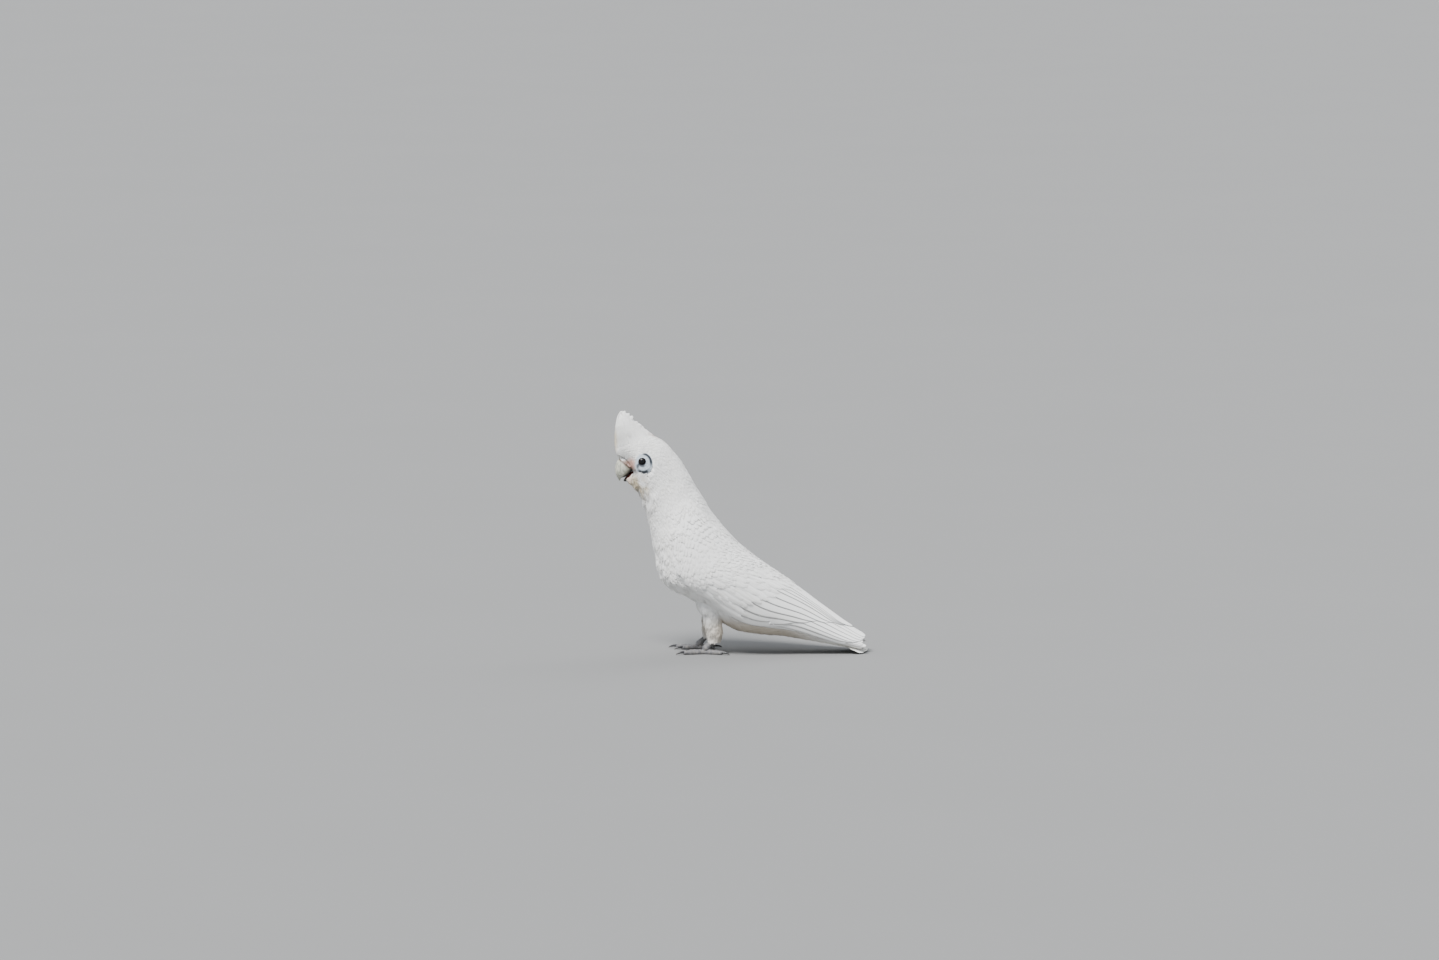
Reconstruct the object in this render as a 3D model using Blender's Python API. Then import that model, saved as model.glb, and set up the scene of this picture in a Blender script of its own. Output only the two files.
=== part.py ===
"""Little corella, a small white cockatoo, as a life-size standing museum model.

Frame: metres, +Z up. The bird faces -X, its left side faces -Y, and the origin is on the floor under
the middle of its bounding box. It stands on the flats under its toes and on the end of its tail.

The head, neck, trunk and folded wings share one outer form. Each section of that form joins a point
on the top line to a point on the under line and has a half width, so the form is parted by section
number and by the turn round a section. Every outer surface is the outer surface of the plumage.
"""

import math

import bmesh
import bpy
import numpy as np

MM = 0.001
GAP = 0.4  # mm, clearance between neighbouring solids
WELD = 0.03  # mm, points closer than this after a cut are made one
CUT_PAST = 4.0  # mm, how far a cutter runs out past the surface it cuts
FLOOR = 0.0  # mm, the level of every flat that the bird rests on

# Stations of the outer form, beak to tail: top x, top z, under x, under z, half width (mm).
BODY = {
    "face": (-141.5, 223.5, -128.0, 193.0, 10.8),
    "brow": (-144.6, 238.0, -122.5, 187.0, 12.4),
    "crown": (-122.0, 251.0, -117.4, 181.4, 22.6),
    "occiput": (-93.9, 246.0, -114.5, 174.0, 26.4),
    "nape": (-72.1, 224.1, -111.6, 163.6, 28.0),
    "neck": (-51.5, 190.1, -106.5, 141.7, 34.5),
    "shoulder": (-28.6, 154.9, -100.8, 115.2, 46.0),
    "breast": (-4.6, 127.9, -90.5, 79.5, 53.0),
    "back": (22.9, 104.8, -54.5, 58.5, 54.5),
    "loin": (55.0, 82.4, -9.0, 26.0, 49.0),
    "rump": (87.0, 57.6, 49.2, 18.4, 38.5),
    "tail": (117.9, 34.6, 103.0, 9.2, 29.0),
    "tip": (143.1, 18.4, 144.3, 0.5, 24.0),
}
# At the same stations: where a section is widest, from 0 at the top to 1, and how square its upper
# and lower halves are (2 is an ellipse, less is a ridge, more is a box).
WIDEST = (0.50, 0.52, 0.55, 0.58, 0.55, 0.52, 0.50, 0.50, 0.50, 0.52, 0.58, 0.62, 0.62)
TOP_SQUARE = (2.2, 2.2, 2.2, 2.1, 2.1, 2.1, 2.1, 2.1, 2.0, 1.9, 1.75, 1.6, 1.6)
UNDER_SQUARE = (2.2, 2.1, 2.0, 1.9, 2.0, 2.1, 2.2, 2.3, 2.3, 2.3, 2.5, 2.8, 2.8)

# Where the form is parted, as section numbers, and how far the trunk reaches under the wings.
NECK_FRONT, NECK_REAR, TRUNK_REAR = 3.6, 5.3, 10.45
TRUNK_UNDER_REACH = 0.75  # sections by which the trunk reaches further back under the tail than above it
FACE_OPEN = 1.45  # sections by which the face lies further back at the sides of the bill than above it
FACE_PINCH = 0.30  # share by which the face's edge is drawn in towards the bill
HEAD_RINGS_EACH, RINGS_EACH, SECTORS = 3.0, 2.0, 26

# The folded wing on the form, from the shoulder station to the tip: its upper edge as a turn from
# the top line in degrees, and its lower edge as the share of the section's depth.
WING_TOP_TURN = (42.0, 34.0, 24.0, 14.0, 7.0, 5.0, 8.0)
WING_UNDER_SHARE = (0.66, 0.72, 0.77, 0.73, 0.61, 0.62, 0.66)
WING_FIRST, WING_LAST = 6, 11.92
WING_TIP_ROUNDING = 0.55  # sections, how much sooner the lower edge ends than the upper
WING_PROUD = 0.9  # mm, how far the wing stands out of the form
WING_DEPTH = (9.0, 9.0, 6.5, 4.5, 3.2, 2.2)  # mm, front to tip
WING_STEPS, WING_ROWS = 20, 6
WING_LENGTH = 230.0  # mm, roughly, along the form
HALF_SEAM = GAP / WING_LENGTH  # share of the wing's length
WING_END_ROOM, WING_EDGE_ROOM = 0.004, 0.012  # shares by which the room for a wing is larger than the wing

# The tail, the raised crest and the two halves of the bill, in stations like the body's. The crest's
# run from its root to its tip, with its front edge first and its rear edge second.
TAIL = {
    "root": (64.0, 35.0, 60.0, 25.0, 15.0),
    "middle": (101.0, 21.0, 98.5, 11.5, 20.5),
    "end": (144.5, 3.0, 145.9, -1.2, 26.0),
}
TAIL_ROUNDING = 6.0  # mm, how much shorter the outermost feathers are
TAIL_RINGS, TAIL_CROWDING = 8, 1.6  # rings along the tail, closer together towards its flat end
CREST = {
    "root": (-139.0, 229.0, -99.6, 241.0, 9.0),
    "brow": (-145.2, 238.2, -101.9, 249.6, 11.5),
    "lower": (-145.9, 247.7, -109.9, 255.6, 11.5),
    "middle": (-144.8, 259.2, -120.7, 264.2, 9.5),
    "upper": (-142.4, 270.2, -129.4, 273.6, 6.5),
    "tip": (-139.3, 277.6, -137.6, 277.4, 1.6),
}
CREST_STEPS, CREST_STEP_DEPTH = 4, 2.6  # feather ends down the rear edge, and their depth in mm
UPPER_BILL = {
    "root": (-135.1, 225.8, -119.1, 212.0, 10.0),
    "base": (-141.6, 221.8, -125.4, 208.9, 10.6),
    "curve": (-144.5, 215.4, -129.4, 204.6, 9.8),
    "hook": (-145.3, 208.8, -134.0, 201.6, 7.8),
    "bend": (-143.8, 203.0, -138.2, 200.4, 4.6),
    "tip": (-140.5, 197.1, -139.4, 197.5, 1.0),
}
LOWER_BILL = {
    "root": (-118.8, 208.4, -115.6, 192.2, 8.2),
    "base": (-125.6, 206.8, -123.7, 191.6, 8.4),
    "side": (-129.4, 202.6, -128.5, 193.4, 7.2),
    "edge": (-133.2, 199.4, -131.9, 196.8, 4.6),
}

EYE_X, EYE_Z = -114.2, 221.8  # mm, the middle of the eye in the side view
EYE_RADIUS = 5.0
EYE_SUNK = 4.0  # mm, from the plumage's surface in to the middle of the eyeball
RING_X, RING_Z = -112.4, 219.4  # the middle of the bare skin round the eye
RING_HALF_WIDTH, RING_HALF_HEIGHT = 9.8, 11.8
RING_HOLE = 3.9  # radius in mm
RING_PROUD, RING_DEEP = 0.7, 1.6  # mm above and below the plumage's surface

# The feathered leg in stations, seen from the side, and how far its middle lies from the body's.
THIGH = {
    "hip": (-51.5, 69.1, -17.2, 71.4, 10.0),
    "thigh": (-53.2, 58.8, -24.0, 59.9, 12.0),
    "knee": (-49.2, 49.5, -26.9, 50.1, 11.0),
    "end": (-42.4, 43.6, -33.2, 43.6, 5.0),
}
THIGH_OUT = 23.5
SHANK = {
    "knee": (-46.0, 50.0, -24.6, 52.0, 8.6),
    "calf": (-44.1, 43.8, -24.0, 44.9, 8.6),
    "middle": (-42.9, 31.1, -22.9, 32.3, 7.6),
    "ankle": (-40.6, 20.7, -22.3, 21.9, 6.6),
    "cuff": (-37.5, 13.0, -26.0, 12.4, 4.4),
}
SHANK_OUT = 22.0
ANKLE_X, ANKLE_Z = -29.5, 17.5
FOOT_X, FOOT_Z = -43.0, 4.2
TARSUS_RADIUS, PAD_RADIUS = 3.1, 5.0
RIGHT_LEG_LEAN = -9.0  # mm, how much further forward the right foot stands
LEAN_TOP = 50.0  # mm, the height from which the right leg leans

# The toes of the left foot: heading in degrees from straight ahead towards the outer side, length and
# thickness in mm. Two point ahead and two back.
TOES = {
    "1": (200.0, 13.0, 2.7),
    "2": (-17.0, 18.0, 2.9),
    "3": (17.0, 25.0, 3.1),
    "4": (158.0, 22.0, 3.0),
}
TOE_HEIGHT = 0.8  # middle of a toe above the floor, as a share of its radius
CLAW_LENGTH, CLAW_RADIUS = 8.5, 1.5

FEATHER_WHITE = (0.93, 0.92, 0.88)
BILL_HORN = (0.72, 0.70, 0.62)
SKIN_BLUE = (0.42, 0.49, 0.56)
EYE_DARK = (0.02, 0.015, 0.012)
LEG_GREY = (0.16, 0.16, 0.17)
CLAW_BLACK = (0.05, 0.05, 0.055)


def clear_scene():
    """Removes whatever the file held."""
    for obj in list(bpy.data.objects):
        bpy.data.objects.remove(obj, do_unlink=True)


def material(name, colour, roughness):
    """A plain Principled BSDF, made once for each name."""
    found = bpy.data.materials.get(name)
    if found is None:
        found = bpy.data.materials.new(name)
        found.use_nodes = True
        shader = found.node_tree.nodes["Principled BSDF"]
        shader.inputs["Base Color"].default_value = (*colour, 1.0)
        shader.inputs["Roughness"].default_value = roughness
        shader.inputs["Metallic"].default_value = 0.0
    return found


def plumage():
    """The white of the feathers."""
    return material("plumage", FEATHER_WHITE, 0.75)


def mesh_object(name, points, faces, finish):
    """A named object from points in millimetres. The outside of each face is where it winds anticlockwise."""
    mesh = bpy.data.meshes.new(name)
    mesh.from_pydata([tuple(p) for p in np.asarray(points) * MM], [], [tuple(f) for f in faces])
    mesh.validate()
    mesh.shade_smooth()
    mesh.set_sharp_from_angle(angle=math.radians(50))
    obj = bpy.data.objects.new(name, mesh)
    obj.data.materials.append(finish)
    bpy.context.scene.collection.objects.link(obj)
    return obj


def along(table, place):
    """Smooth values at a station number: a Catmull-Rom curve through a table's rows."""
    rows = np.asarray(table, float)
    last = len(rows) - 1
    place = np.clip(np.asarray(place, float), 0.0, last)
    first = np.minimum(place.astype(int), last - 1)
    part = place - first
    if rows.ndim > 1:
        part = part[..., None]
    before, start, end, after = (rows[np.clip(first + k, 0, last)] for k in (-1, 0, 1, 2))
    linear = (end - before) * part
    square = (2 * before - 5 * start + 4 * end - after) * part**2
    cube = (3 * start - before - 3 * end + after) * part**3
    return 0.5 * (2 * start + linear + square + cube)


class Form:
    """A body made of superellipse sections, each between a point on a top line and one on an under line."""

    def __init__(self, stations, widest=None, top_square=None, under_square=None):
        self.stations = np.array(list(stations), float)
        count = len(self.stations)
        self.widest = widest or (0.5,) * count
        self.top_square = top_square or (2.0,) * count
        self.under_square = under_square or (2.0,) * count

    def shape(self, place):
        """Top point, under point, half width, widest share and both squarenesses at a station number."""
        row = along(self.stations, place)
        return (
            row[..., 0:2],
            row[..., 2:4],
            row[..., 4],
            along(self.widest, place),
            along(self.top_square, place),
            along(self.under_square, place),
        )

    def points(self, place, turn):
        """Points in mm at station numbers and turns: 0 is the top line, pi the under line, + the left."""
        place, turn = np.broadcast_arrays(np.asarray(place, float), np.asarray(turn, float))
        top, under, half, widest, top_square, under_square = self.shape(place)
        cosine, sine = np.cos(turn), np.sin(turn)
        upper = cosine >= 0
        power = 2.0 / np.where(upper, top_square, under_square)
        reach = np.abs(cosine) ** power
        share = np.where(upper, widest * (1 - reach), widest + (1 - widest) * reach)
        flat = top + (under - top) * share[..., None]
        across = -half * np.sign(sine) * np.abs(sine) ** power
        return np.stack([flat[..., 0], across, flat[..., 1]], axis=-1)

    def normals(self, place, turn, step=0.01):
        """Unit vectors pointing out of the form."""
        last = len(self.stations) - 1
        ahead, behind = np.minimum(place + step, last), np.maximum(place - step, 0)
        down_body = self.points(ahead, turn) - self.points(behind, turn)
        round_body = self.points(place, turn + step) - self.points(place, turn - step)
        square = np.cross(round_body, down_body)
        from_middle = self.points(place, turn) - (self.points(place, 0.0) + self.points(place, math.pi)) / 2
        square *= np.sign(np.sum(square * from_middle, axis=-1, keepdims=True))
        return square / np.maximum(np.linalg.norm(square, axis=-1, keepdims=True), 1e-9)

    def turn_at(self, place, share):
        """The turn, on the left side, at which a section is that share of its depth below the top line."""
        _, _, _, widest, top_square, under_square = self.shape(place)
        above = np.clip(1 - share / widest, 0, 1) ** (top_square / 2)
        below = np.clip((share - widest) / (1 - widest), 0, 1) ** (under_square / 2)
        return np.where(share <= widest, np.arccos(above), math.pi - np.arccos(below))

    def side(self, x, z):
        """Half width in mm of the form where a line along Y passes at x, z, found by halving."""
        low, high = np.zeros_like(x), np.full_like(x, len(self.stations) - 1.0)
        for _ in range(40):
            middle = (low + high) / 2
            top, under, *_ = self.shape(middle)
            past = (under[..., 0] - top[..., 0]) * (z - top[..., 1]) - (
                under[..., 1] - top[..., 1]
            ) * (x - top[..., 0])
            low, high = np.where(past > 0, middle, low), np.where(past > 0, high, middle)
        top, under, *_ = self.shape(low)
        share = np.hypot(x - top[..., 0], z - top[..., 1]) / np.hypot(
            under[..., 0] - top[..., 0], under[..., 1] - top[..., 1]
        )
        return -self.points(low, self.turn_at(low, share))[..., 1]


BODY_FORM = Form(BODY.values(), WIDEST, TOP_SQUARE, UNDER_SQUARE)


def rings_mesh(rings):
    """Points and faces of a tube through equal rings, closed at both ends by fans."""
    rings = np.asarray(rings, float)
    count, around = rings.shape[:2]
    points = np.concatenate([rings.reshape(-1, 3), [rings[0].mean(0)], [rings[-1].mean(0)]])
    start, end = count * around, count * around + 1
    faces = []
    for k in range(around):
        following = (k + 1) % around
        for ring in range(count - 1):
            here, there = ring * around, (ring + 1) * around
            faces.append((here + k, here + following, there + following, there + k))
        faces.append((start, following, k))
        faces.append((end, (count - 1) * around + k, (count - 1) * around + following))
    return points, faces


def flipped(face):
    """The face seen from behind, starting at the same corner so that its diagonal stays."""
    return (face[0], *reversed(face[1:]))


def outward(points, faces):
    """The faces, turned round if together they enclose a negative volume."""
    points = np.asarray(points)
    volume = 0.0
    for face in faces:
        for second, third in zip(face[1:-1], face[2:]):
            volume += np.dot(points[face[0]], np.cross(points[second], points[third]))
    return faces if volume > 0 else [flipped(face) for face in faces]


def solid_of_rings(name, rings, finish):
    """An object whose surface runs through the rings and closes at both ends."""
    points, faces = rings_mesh(rings)
    return mesh_object(name, points, outward(points, faces), finish)


def shell_mesh(outer, inner):
    """Points and faces of the closed space between two grids of the same size.

    The grids are made of triangles, so that a wing and the room for it bend along the same lines.
    """
    outer, inner = np.asarray(outer, float), np.asarray(inner, float)
    rows, columns = outer.shape[:2]
    lift = rows * columns
    points = np.concatenate([outer.reshape(-1, 3), inner.reshape(-1, 3)])
    faces = []
    for r in range(rows - 1):
        for c in range(columns - 1):
            near, far = r * columns + c, (r + 1) * columns + c + 1
            for side in ((near, near + 1, far), (near, far, far - 1)):
                faces.append(side)
                faces.append(tuple(lift + k for k in reversed(side)))
    rim = [c for c in range(columns)]
    rim += [r * columns + columns - 1 for r in range(1, rows)]
    rim += [(rows - 1) * columns + c for c in range(columns - 2, -1, -1)]
    rim += [r * columns for r in range(rows - 2, 0, -1)]
    for here, there in zip(rim, rim[1:] + rim[:1]):
        faces.append((there, here, lift + here, lift + there))
    return points, faces


def carve(target, cutter_points, cutter_faces, name):
    """Cuts a closed cutter out of an object and leaves the result in its mesh."""
    cutter = mesh_object(name, cutter_points, outward(cutter_points, cutter_faces), plumage())
    cut = target.modifiers.new("cut_" + name, "BOOLEAN")
    cut.operation = "DIFFERENCE"
    cut.solver = "EXACT"
    cut.object = cutter
    bpy.context.view_layer.update()
    graph = bpy.context.evaluated_depsgraph_get()
    carved = bpy.data.meshes.new_from_object(target.evaluated_get(graph))
    target.modifiers.remove(cut)
    target.data = carved
    mesh = bmesh.new()
    mesh.from_mesh(carved)
    bmesh.ops.remove_doubles(mesh, verts=mesh.verts, dist=WELD * MM)
    bmesh.ops.dissolve_degenerate(mesh, edges=mesh.edges, dist=WELD * MM)
    mesh.to_mesh(carved)
    mesh.free()
    bpy.data.objects.remove(cutter, do_unlink=True)


def body_rings(first, last, inset=0.0):
    """Rings of the outer form between two station numbers, drawn in by a clearance.

    The face opens round the bill, so its first rings run further back at the sides and are drawn in
    towards the middle. The trunk's last rings run further back underneath, as the undertail coverts do.
    """
    each = RINGS_EACH if first >= NECK_FRONT else HEAD_RINGS_EACH
    count = max(3, int(round((last - first) * each)) + 1)
    turn = np.linspace(0, 2 * math.pi, SECTORS, endpoint=False)
    place = np.linspace(first, last, count)[:, None]
    place, turn = np.broadcast_arrays(place, turn)
    opening = FACE_OPEN * np.sin(turn) ** 2
    pinch = FACE_PINCH * np.sin(turn) ** 2 * np.clip(1 - place / 1.5, 0, 1) ** 1.5
    place = np.where(place < 2, opening + place * (1 - opening / 2), place)
    if last == TRUNK_REAR:
        under = TRUNK_UNDER_REACH * ((1 - np.cos(turn)) / 2) ** 2
        place = place + under * np.clip((place - first) / (last - first), 0, 1) ** 4
    rings = BODY_FORM.points(place, turn) - BODY_FORM.normals(place, turn) * inset
    rings[..., 1] *= 1 - pinch
    return rings


def part_at(rings, front, rear):
    """Moves the first and last rings half a gap into the piece, along the line of the body."""
    rings = rings.copy()
    for end, step, wanted in ((0, 1, front), (-1, -1, rear)):
        if wanted:
            inward = rings[end + step] - rings[end]
            inward /= np.linalg.norm(inward, axis=-1, keepdims=True)
            rings[end] += inward * GAP / 2
    return rings


def wing_points(share_along, share_down, lift, inmost=-GAP):
    """Points of the folded left wing, raised off the form by a lift in mm, on its own side of inmost.

    share_along runs from the leading edge to the tip and share_down from the upper to the lower edge.
    """
    lead = WING_FIRST - 0.5 * np.sin(math.pi * np.clip(share_down, 0, 1))
    end = WING_LAST - WING_TIP_ROUNDING * np.clip(share_down, 0, 1) ** 2
    place = lead + (end - lead) * share_along
    row = np.clip(place - WING_FIRST, 0, len(WING_TOP_TURN) - 1)
    top_turn = np.radians(along(WING_TOP_TURN, row))
    low_turn = BODY_FORM.turn_at(place, along(WING_UNDER_SHARE, row))
    turn = top_turn + (low_turn - top_turn) * share_down
    points = BODY_FORM.points(place, turn) + BODY_FORM.normals(place, turn) * lift[..., None]
    points[..., 1] = np.minimum(points[..., 1], inmost)
    return points


def wing_depth(share_along, share_down):
    """Thickness of the wing: thin at the leading edge and along both sides, full in the middle."""
    full = along(WING_DEPTH, share_along * (len(WING_DEPTH) - 1))
    middle = np.sqrt(np.clip(np.sin(math.pi * np.clip(share_down, 0, 1)), 0, 1))
    lead = np.clip(share_along / 0.08, 0, 1)
    return 1.6 + (full - 1.6) * (0.2 + 0.8 * middle) * np.sqrt(lead)


# Where the wing is parted, as a share of its length at its upper and lower edge.
WING_SEAMS = {"coverts": (0.0, 0.0), "secondaries": (0.44, 0.32), "primaries": (0.80, 0.62), "": (1.0, 1.0)}


def wing_rows(name):
    """Shares along and down the wing at the corners of one part's grid, between its slanting seams."""
    names = list(WING_SEAMS)
    first, last = WING_SEAMS[name], WING_SEAMS[names[names.index(name) + 1]]
    steps = max(4, int(WING_STEPS * (last[0] - first[0])))
    down = np.linspace(0, 1, WING_ROWS + 1)[None, :]
    start = first[0] + (first[1] - first[0]) * down + HALF_SEAM
    end = last[0] + (last[1] - last[0]) * down - HALF_SEAM
    part = np.linspace(0, 1, steps + 1)[:, None]
    return np.broadcast_arrays(start + (end - start) * part, down)


def left_and_right(name, points, faces, finish):
    """Two mirrored objects, name_l at -Y and name_r at +Y."""
    points = np.asarray(points, float)
    faces = outward(points, faces)
    mirrored = points * (1, -1, 1)
    left = mesh_object(name + "_l", points, faces, finish)
    right = mesh_object(name + "_r", mirrored, [flipped(face) for face in faces], finish)
    return left, right


def wings():
    """Coverts, secondaries and primaries of both folded wings."""
    for name in list(WING_SEAMS)[:-1]:
        part, down = wing_rows(name)
        outer = wing_points(part, down, np.full(down.shape, WING_PROUD))
        inner = wing_points(part, down, WING_PROUD - wing_depth(part, down))
        left_and_right("wing_" + name, *shell_mesh(outer, inner), plumage())


def carve_wings(target):
    """Makes room for both wings in a piece that lies under them."""
    rows = [wing_rows(name) for name in list(WING_SEAMS)[:-1]]
    part = np.pad(np.concatenate([grid for grid, _ in rows]), 1, mode="edge")
    part[0] -= WING_END_ROOM
    part[-1] += WING_END_ROOM
    down = np.pad(rows[0][1][0], 1, mode="edge")
    down[0] -= WING_EDGE_ROOM
    down[-1] += WING_EDGE_ROOM
    part, down = np.broadcast_arrays(part, down)
    outer = wing_points(part, down, np.full(down.shape, WING_PROUD + CUT_PAST))
    inner = wing_points(part, down, WING_PROUD - wing_depth(part, down) - 2 * GAP, inmost=GAP)
    points, faces = shell_mesh(outer, inner)
    carve(target, points, faces, "left_wing_room")
    carve(target, points * (1, -1, 1), faces, "right_wing_room")


def body():
    """Head, neck and trunk, parted from one form."""
    pieces = {}
    for name, first, last, front, rear in (
        ("head", 0.0, NECK_FRONT, False, True),
        ("neck", NECK_FRONT, NECK_REAR, True, True),
        ("trunk", NECK_REAR, TRUNK_REAR, True, False),
    ):
        rings = part_at(body_rings(first, last), front, rear)
        pieces[name] = solid_of_rings(name, rings, plumage())
    return pieces


def form_rings(form, each, around, inset=0.0, crowding=1.0):
    """Rings of a whole form, a number of them between each two stations, crowded towards its end."""
    sections = len(form.stations) - 1
    part = np.linspace(0, 1, sections * each + 1)[:, None]
    place = sections * (1 - (1 - part) ** crowding)
    turn = np.linspace(0, 2 * math.pi, around, endpoint=False)
    place, turn = np.broadcast_arrays(place, turn)
    return form.points(place, turn) - form.normals(place, turn) * inset


def grown(rings, amount):
    """The rings with their closed ends pushed out along the body, as room for a clearance."""
    rings = rings.copy()
    for end, step in ((0, 1), (-1, -2)):
        away = rings[end].mean(0) - rings[step].mean(0)
        rings[end] += away / np.linalg.norm(away) * amount
    return rings


def carve_rings(target, rings, name):
    """Cuts the closed shape through some rings out of an object."""
    points, faces = rings_mesh(rings)
    carve(target, points, faces, name)


def tail_rings(inset=0.0):
    """The closed tail: a flat fan with a rounded end whose underside meets the floor."""
    form = Form(TAIL.values(), top_square=(2.4, 2.6, 3.0), under_square=(2.4, 3.0, 3.4))
    rings = form_rings(form, TAIL_RINGS // 2, 18, inset, TAIL_CROWDING)
    part = ((rings[..., :1, 0] - rings[0, 0, 0]) / (rings[-1, 0, 0] - rings[0, 0, 0])).clip(0, 1)
    half = np.abs(rings[..., 1]).max(axis=1, keepdims=True)
    rings[..., 0] -= TAIL_ROUNDING * part**3 * (rings[..., 1] / half) ** 2
    if inset == 0:
        rings[..., 2] = np.maximum(rings[..., 2], FLOOR)
    return rings


def tail(trunk):
    carve_rings(trunk, grown(tail_rings(-GAP), GAP), "tail_room")
    return solid_of_rings("tail", tail_rings(), plumage())


def crest(head_rings):
    """The raised crest: broad on the forehead, pointed above, its rear edge stepped by feather ends."""
    form = Form(CREST.values(), top_square=(2.2,) * 6, under_square=(1.8,) * 6)
    rings = form_rings(form, 4, 12)
    part = np.linspace(0, 1, len(rings))[:, None]
    step = (part * CREST_STEPS * 1.25) % 1.0
    turn = np.linspace(0, 2 * math.pi, rings.shape[1], endpoint=False)[None, :]
    rearward = np.clip(-np.cos(turn), 0, 1) ** 2
    rings[..., 0] += CREST_STEP_DEPTH * (step - 0.5) * rearward * np.sin(math.pi * part) ** 0.5
    made = solid_of_rings("crest", rings, plumage())
    carve_rings(made, head_rings, "head_room")
    return made


def bill(head):
    """Both halves of the bill, and the room for them in the face."""
    horn = material("bill_horn", BILL_HORN, 0.35)
    for name, stations, square in (
        ("bill_lower", LOWER_BILL, (3.0, 3.0, 3.0, 2.6)),
        ("bill_upper", UPPER_BILL, (2.0, 2.0, 2.0, 1.9, 1.9, 2.0)),
    ):
        form = Form(stations.values(), top_square=square, under_square=(2.2,) * len(square))
        solid_of_rings(name, form_rings(form, 3, 14), horn)
        carve_rings(head, grown(form_rings(form, 3, 14, -GAP), GAP), name + "_room")


def ball(centre, radius, around=12, rings=5):
    """Rings of a sphere whose poles lie along Y."""
    turn = np.linspace(0, 2 * math.pi, around, endpoint=False)[None, :]
    rise = np.linspace(-math.pi / 2, math.pi / 2, rings + 2)[1:-1, None]
    x = centre[0] + radius * np.cos(rise) * np.cos(turn)
    y = centre[1] + radius * np.sin(rise) * np.ones_like(turn)
    z = centre[2] + radius * np.cos(rise) * np.sin(turn)
    return np.stack([x, y, z], axis=-1)


def ring_loops(margin=0.0, around=15):
    """Closed loops across the bare skin round the left eye, one for each step round it."""
    turn = np.linspace(0, 2 * math.pi, around, endpoint=False)[:, None]
    hole = RING_HOLE - margin
    across = np.array([0.0, 0.0, 0.35, 0.75, 1.0, 1.0, 0.5])[None, :]
    deep = RING_DEEP + margin
    proud = RING_PROUD + margin
    lift = np.array([-deep, proud * 0.6, proud, proud * 0.8, 0.2, -deep, -deep])[None, :]
    hole_radius = np.array([1.2, 0.0, 0.0, 0.0, 0.0, 0.0, 0.0])[None, :]
    inner_x = EYE_X + (hole + hole_radius) * np.cos(turn)
    inner_z = EYE_Z + (hole + hole_radius) * np.sin(turn)
    outer_x = RING_X + (RING_HALF_WIDTH + margin) * np.cos(turn)
    outer_z = RING_Z + (RING_HALF_HEIGHT + margin) * np.sin(turn)
    x = inner_x + (outer_x - inner_x) * across
    z = inner_z + (outer_z - inner_z) * across
    return np.stack([x, -(BODY_FORM.side(x, z) + lift), z], axis=-1)


def closed_loops_mesh(loops):
    """Points and faces of a ring-shaped solid from the closed loops round it."""
    count, around = loops.shape[:2]
    faces = []
    for k in range(count):
        for j in range(around):
            following, beyond = (k + 1) % count, (j + 1) % around
            faces.append(
                (k * around + j, following * around + j, following * around + beyond, k * around + beyond)
            )
    return loops.reshape(-1, 3), faces


def eyes(head):
    """Eyeballs and the bare skin round them, with their sockets in the head."""
    deep = float(BODY_FORM.side(np.array([EYE_X]), np.array([EYE_Z]))[0]) - EYE_SUNK
    centre = (EYE_X, -deep, EYE_Z)
    points, faces = rings_mesh(ball(centre, EYE_RADIUS))
    left_and_right("eye", points, faces, material("eye", EYE_DARK, 0.08))
    left_and_right("eye_skin", *closed_loops_mesh(ring_loops()), material("skin", SKIN_BLUE, 0.6))
    socket, socket_faces = rings_mesh(ball(centre, EYE_RADIUS + GAP))
    _, _, _, _, rim, rim_below, _ = np.moveaxis(ring_loops(margin=GAP), 1, 0)
    disc = np.stack([rim - (0, CUT_PAST, 0), rim_below])
    for side, name in ((1, "left"), (-1, "right")):
        carve(head, socket * (1, side, 1), socket_faces, name + "_socket")
        points, faces = rings_mesh(disc)
        carve(head, points * (1, side, 1), faces, name + "_skin_room")


def leaning(points, lean):
    """The right leg stands further forward: a shear that grows from the belly down to the floor."""
    points = np.array(points, float)
    points[..., 0] += lean * np.clip(1 - points[..., 2] / LEAN_TOP, 0, 1)
    return points


def tube(path, radii, around=8, clamp=True):
    """Rings round a path of points, square to it. Their lowest side is flat, and it stops at the floor."""
    path = np.asarray(path, float)
    ahead = np.gradient(path, axis=0)
    ahead /= np.linalg.norm(ahead, axis=1, keepdims=True)
    across = np.cross(ahead, (0.0, 0.0, 1.0))
    across /= np.linalg.norm(across, axis=1, keepdims=True)
    above = np.cross(across, ahead)
    turn = (2 * math.pi / around * (np.arange(around) + 0.5 * (around % 4 == 0)))[None, :, None]
    radii = np.asarray(radii, float)[:, None, None]
    rings = path[:, None] + radii * (np.cos(turn) * across[:, None] + np.sin(turn) * above[:, None])
    if clamp:
        rings[..., 2] = np.maximum(rings[..., 2], FLOOR)
    return rings


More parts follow.
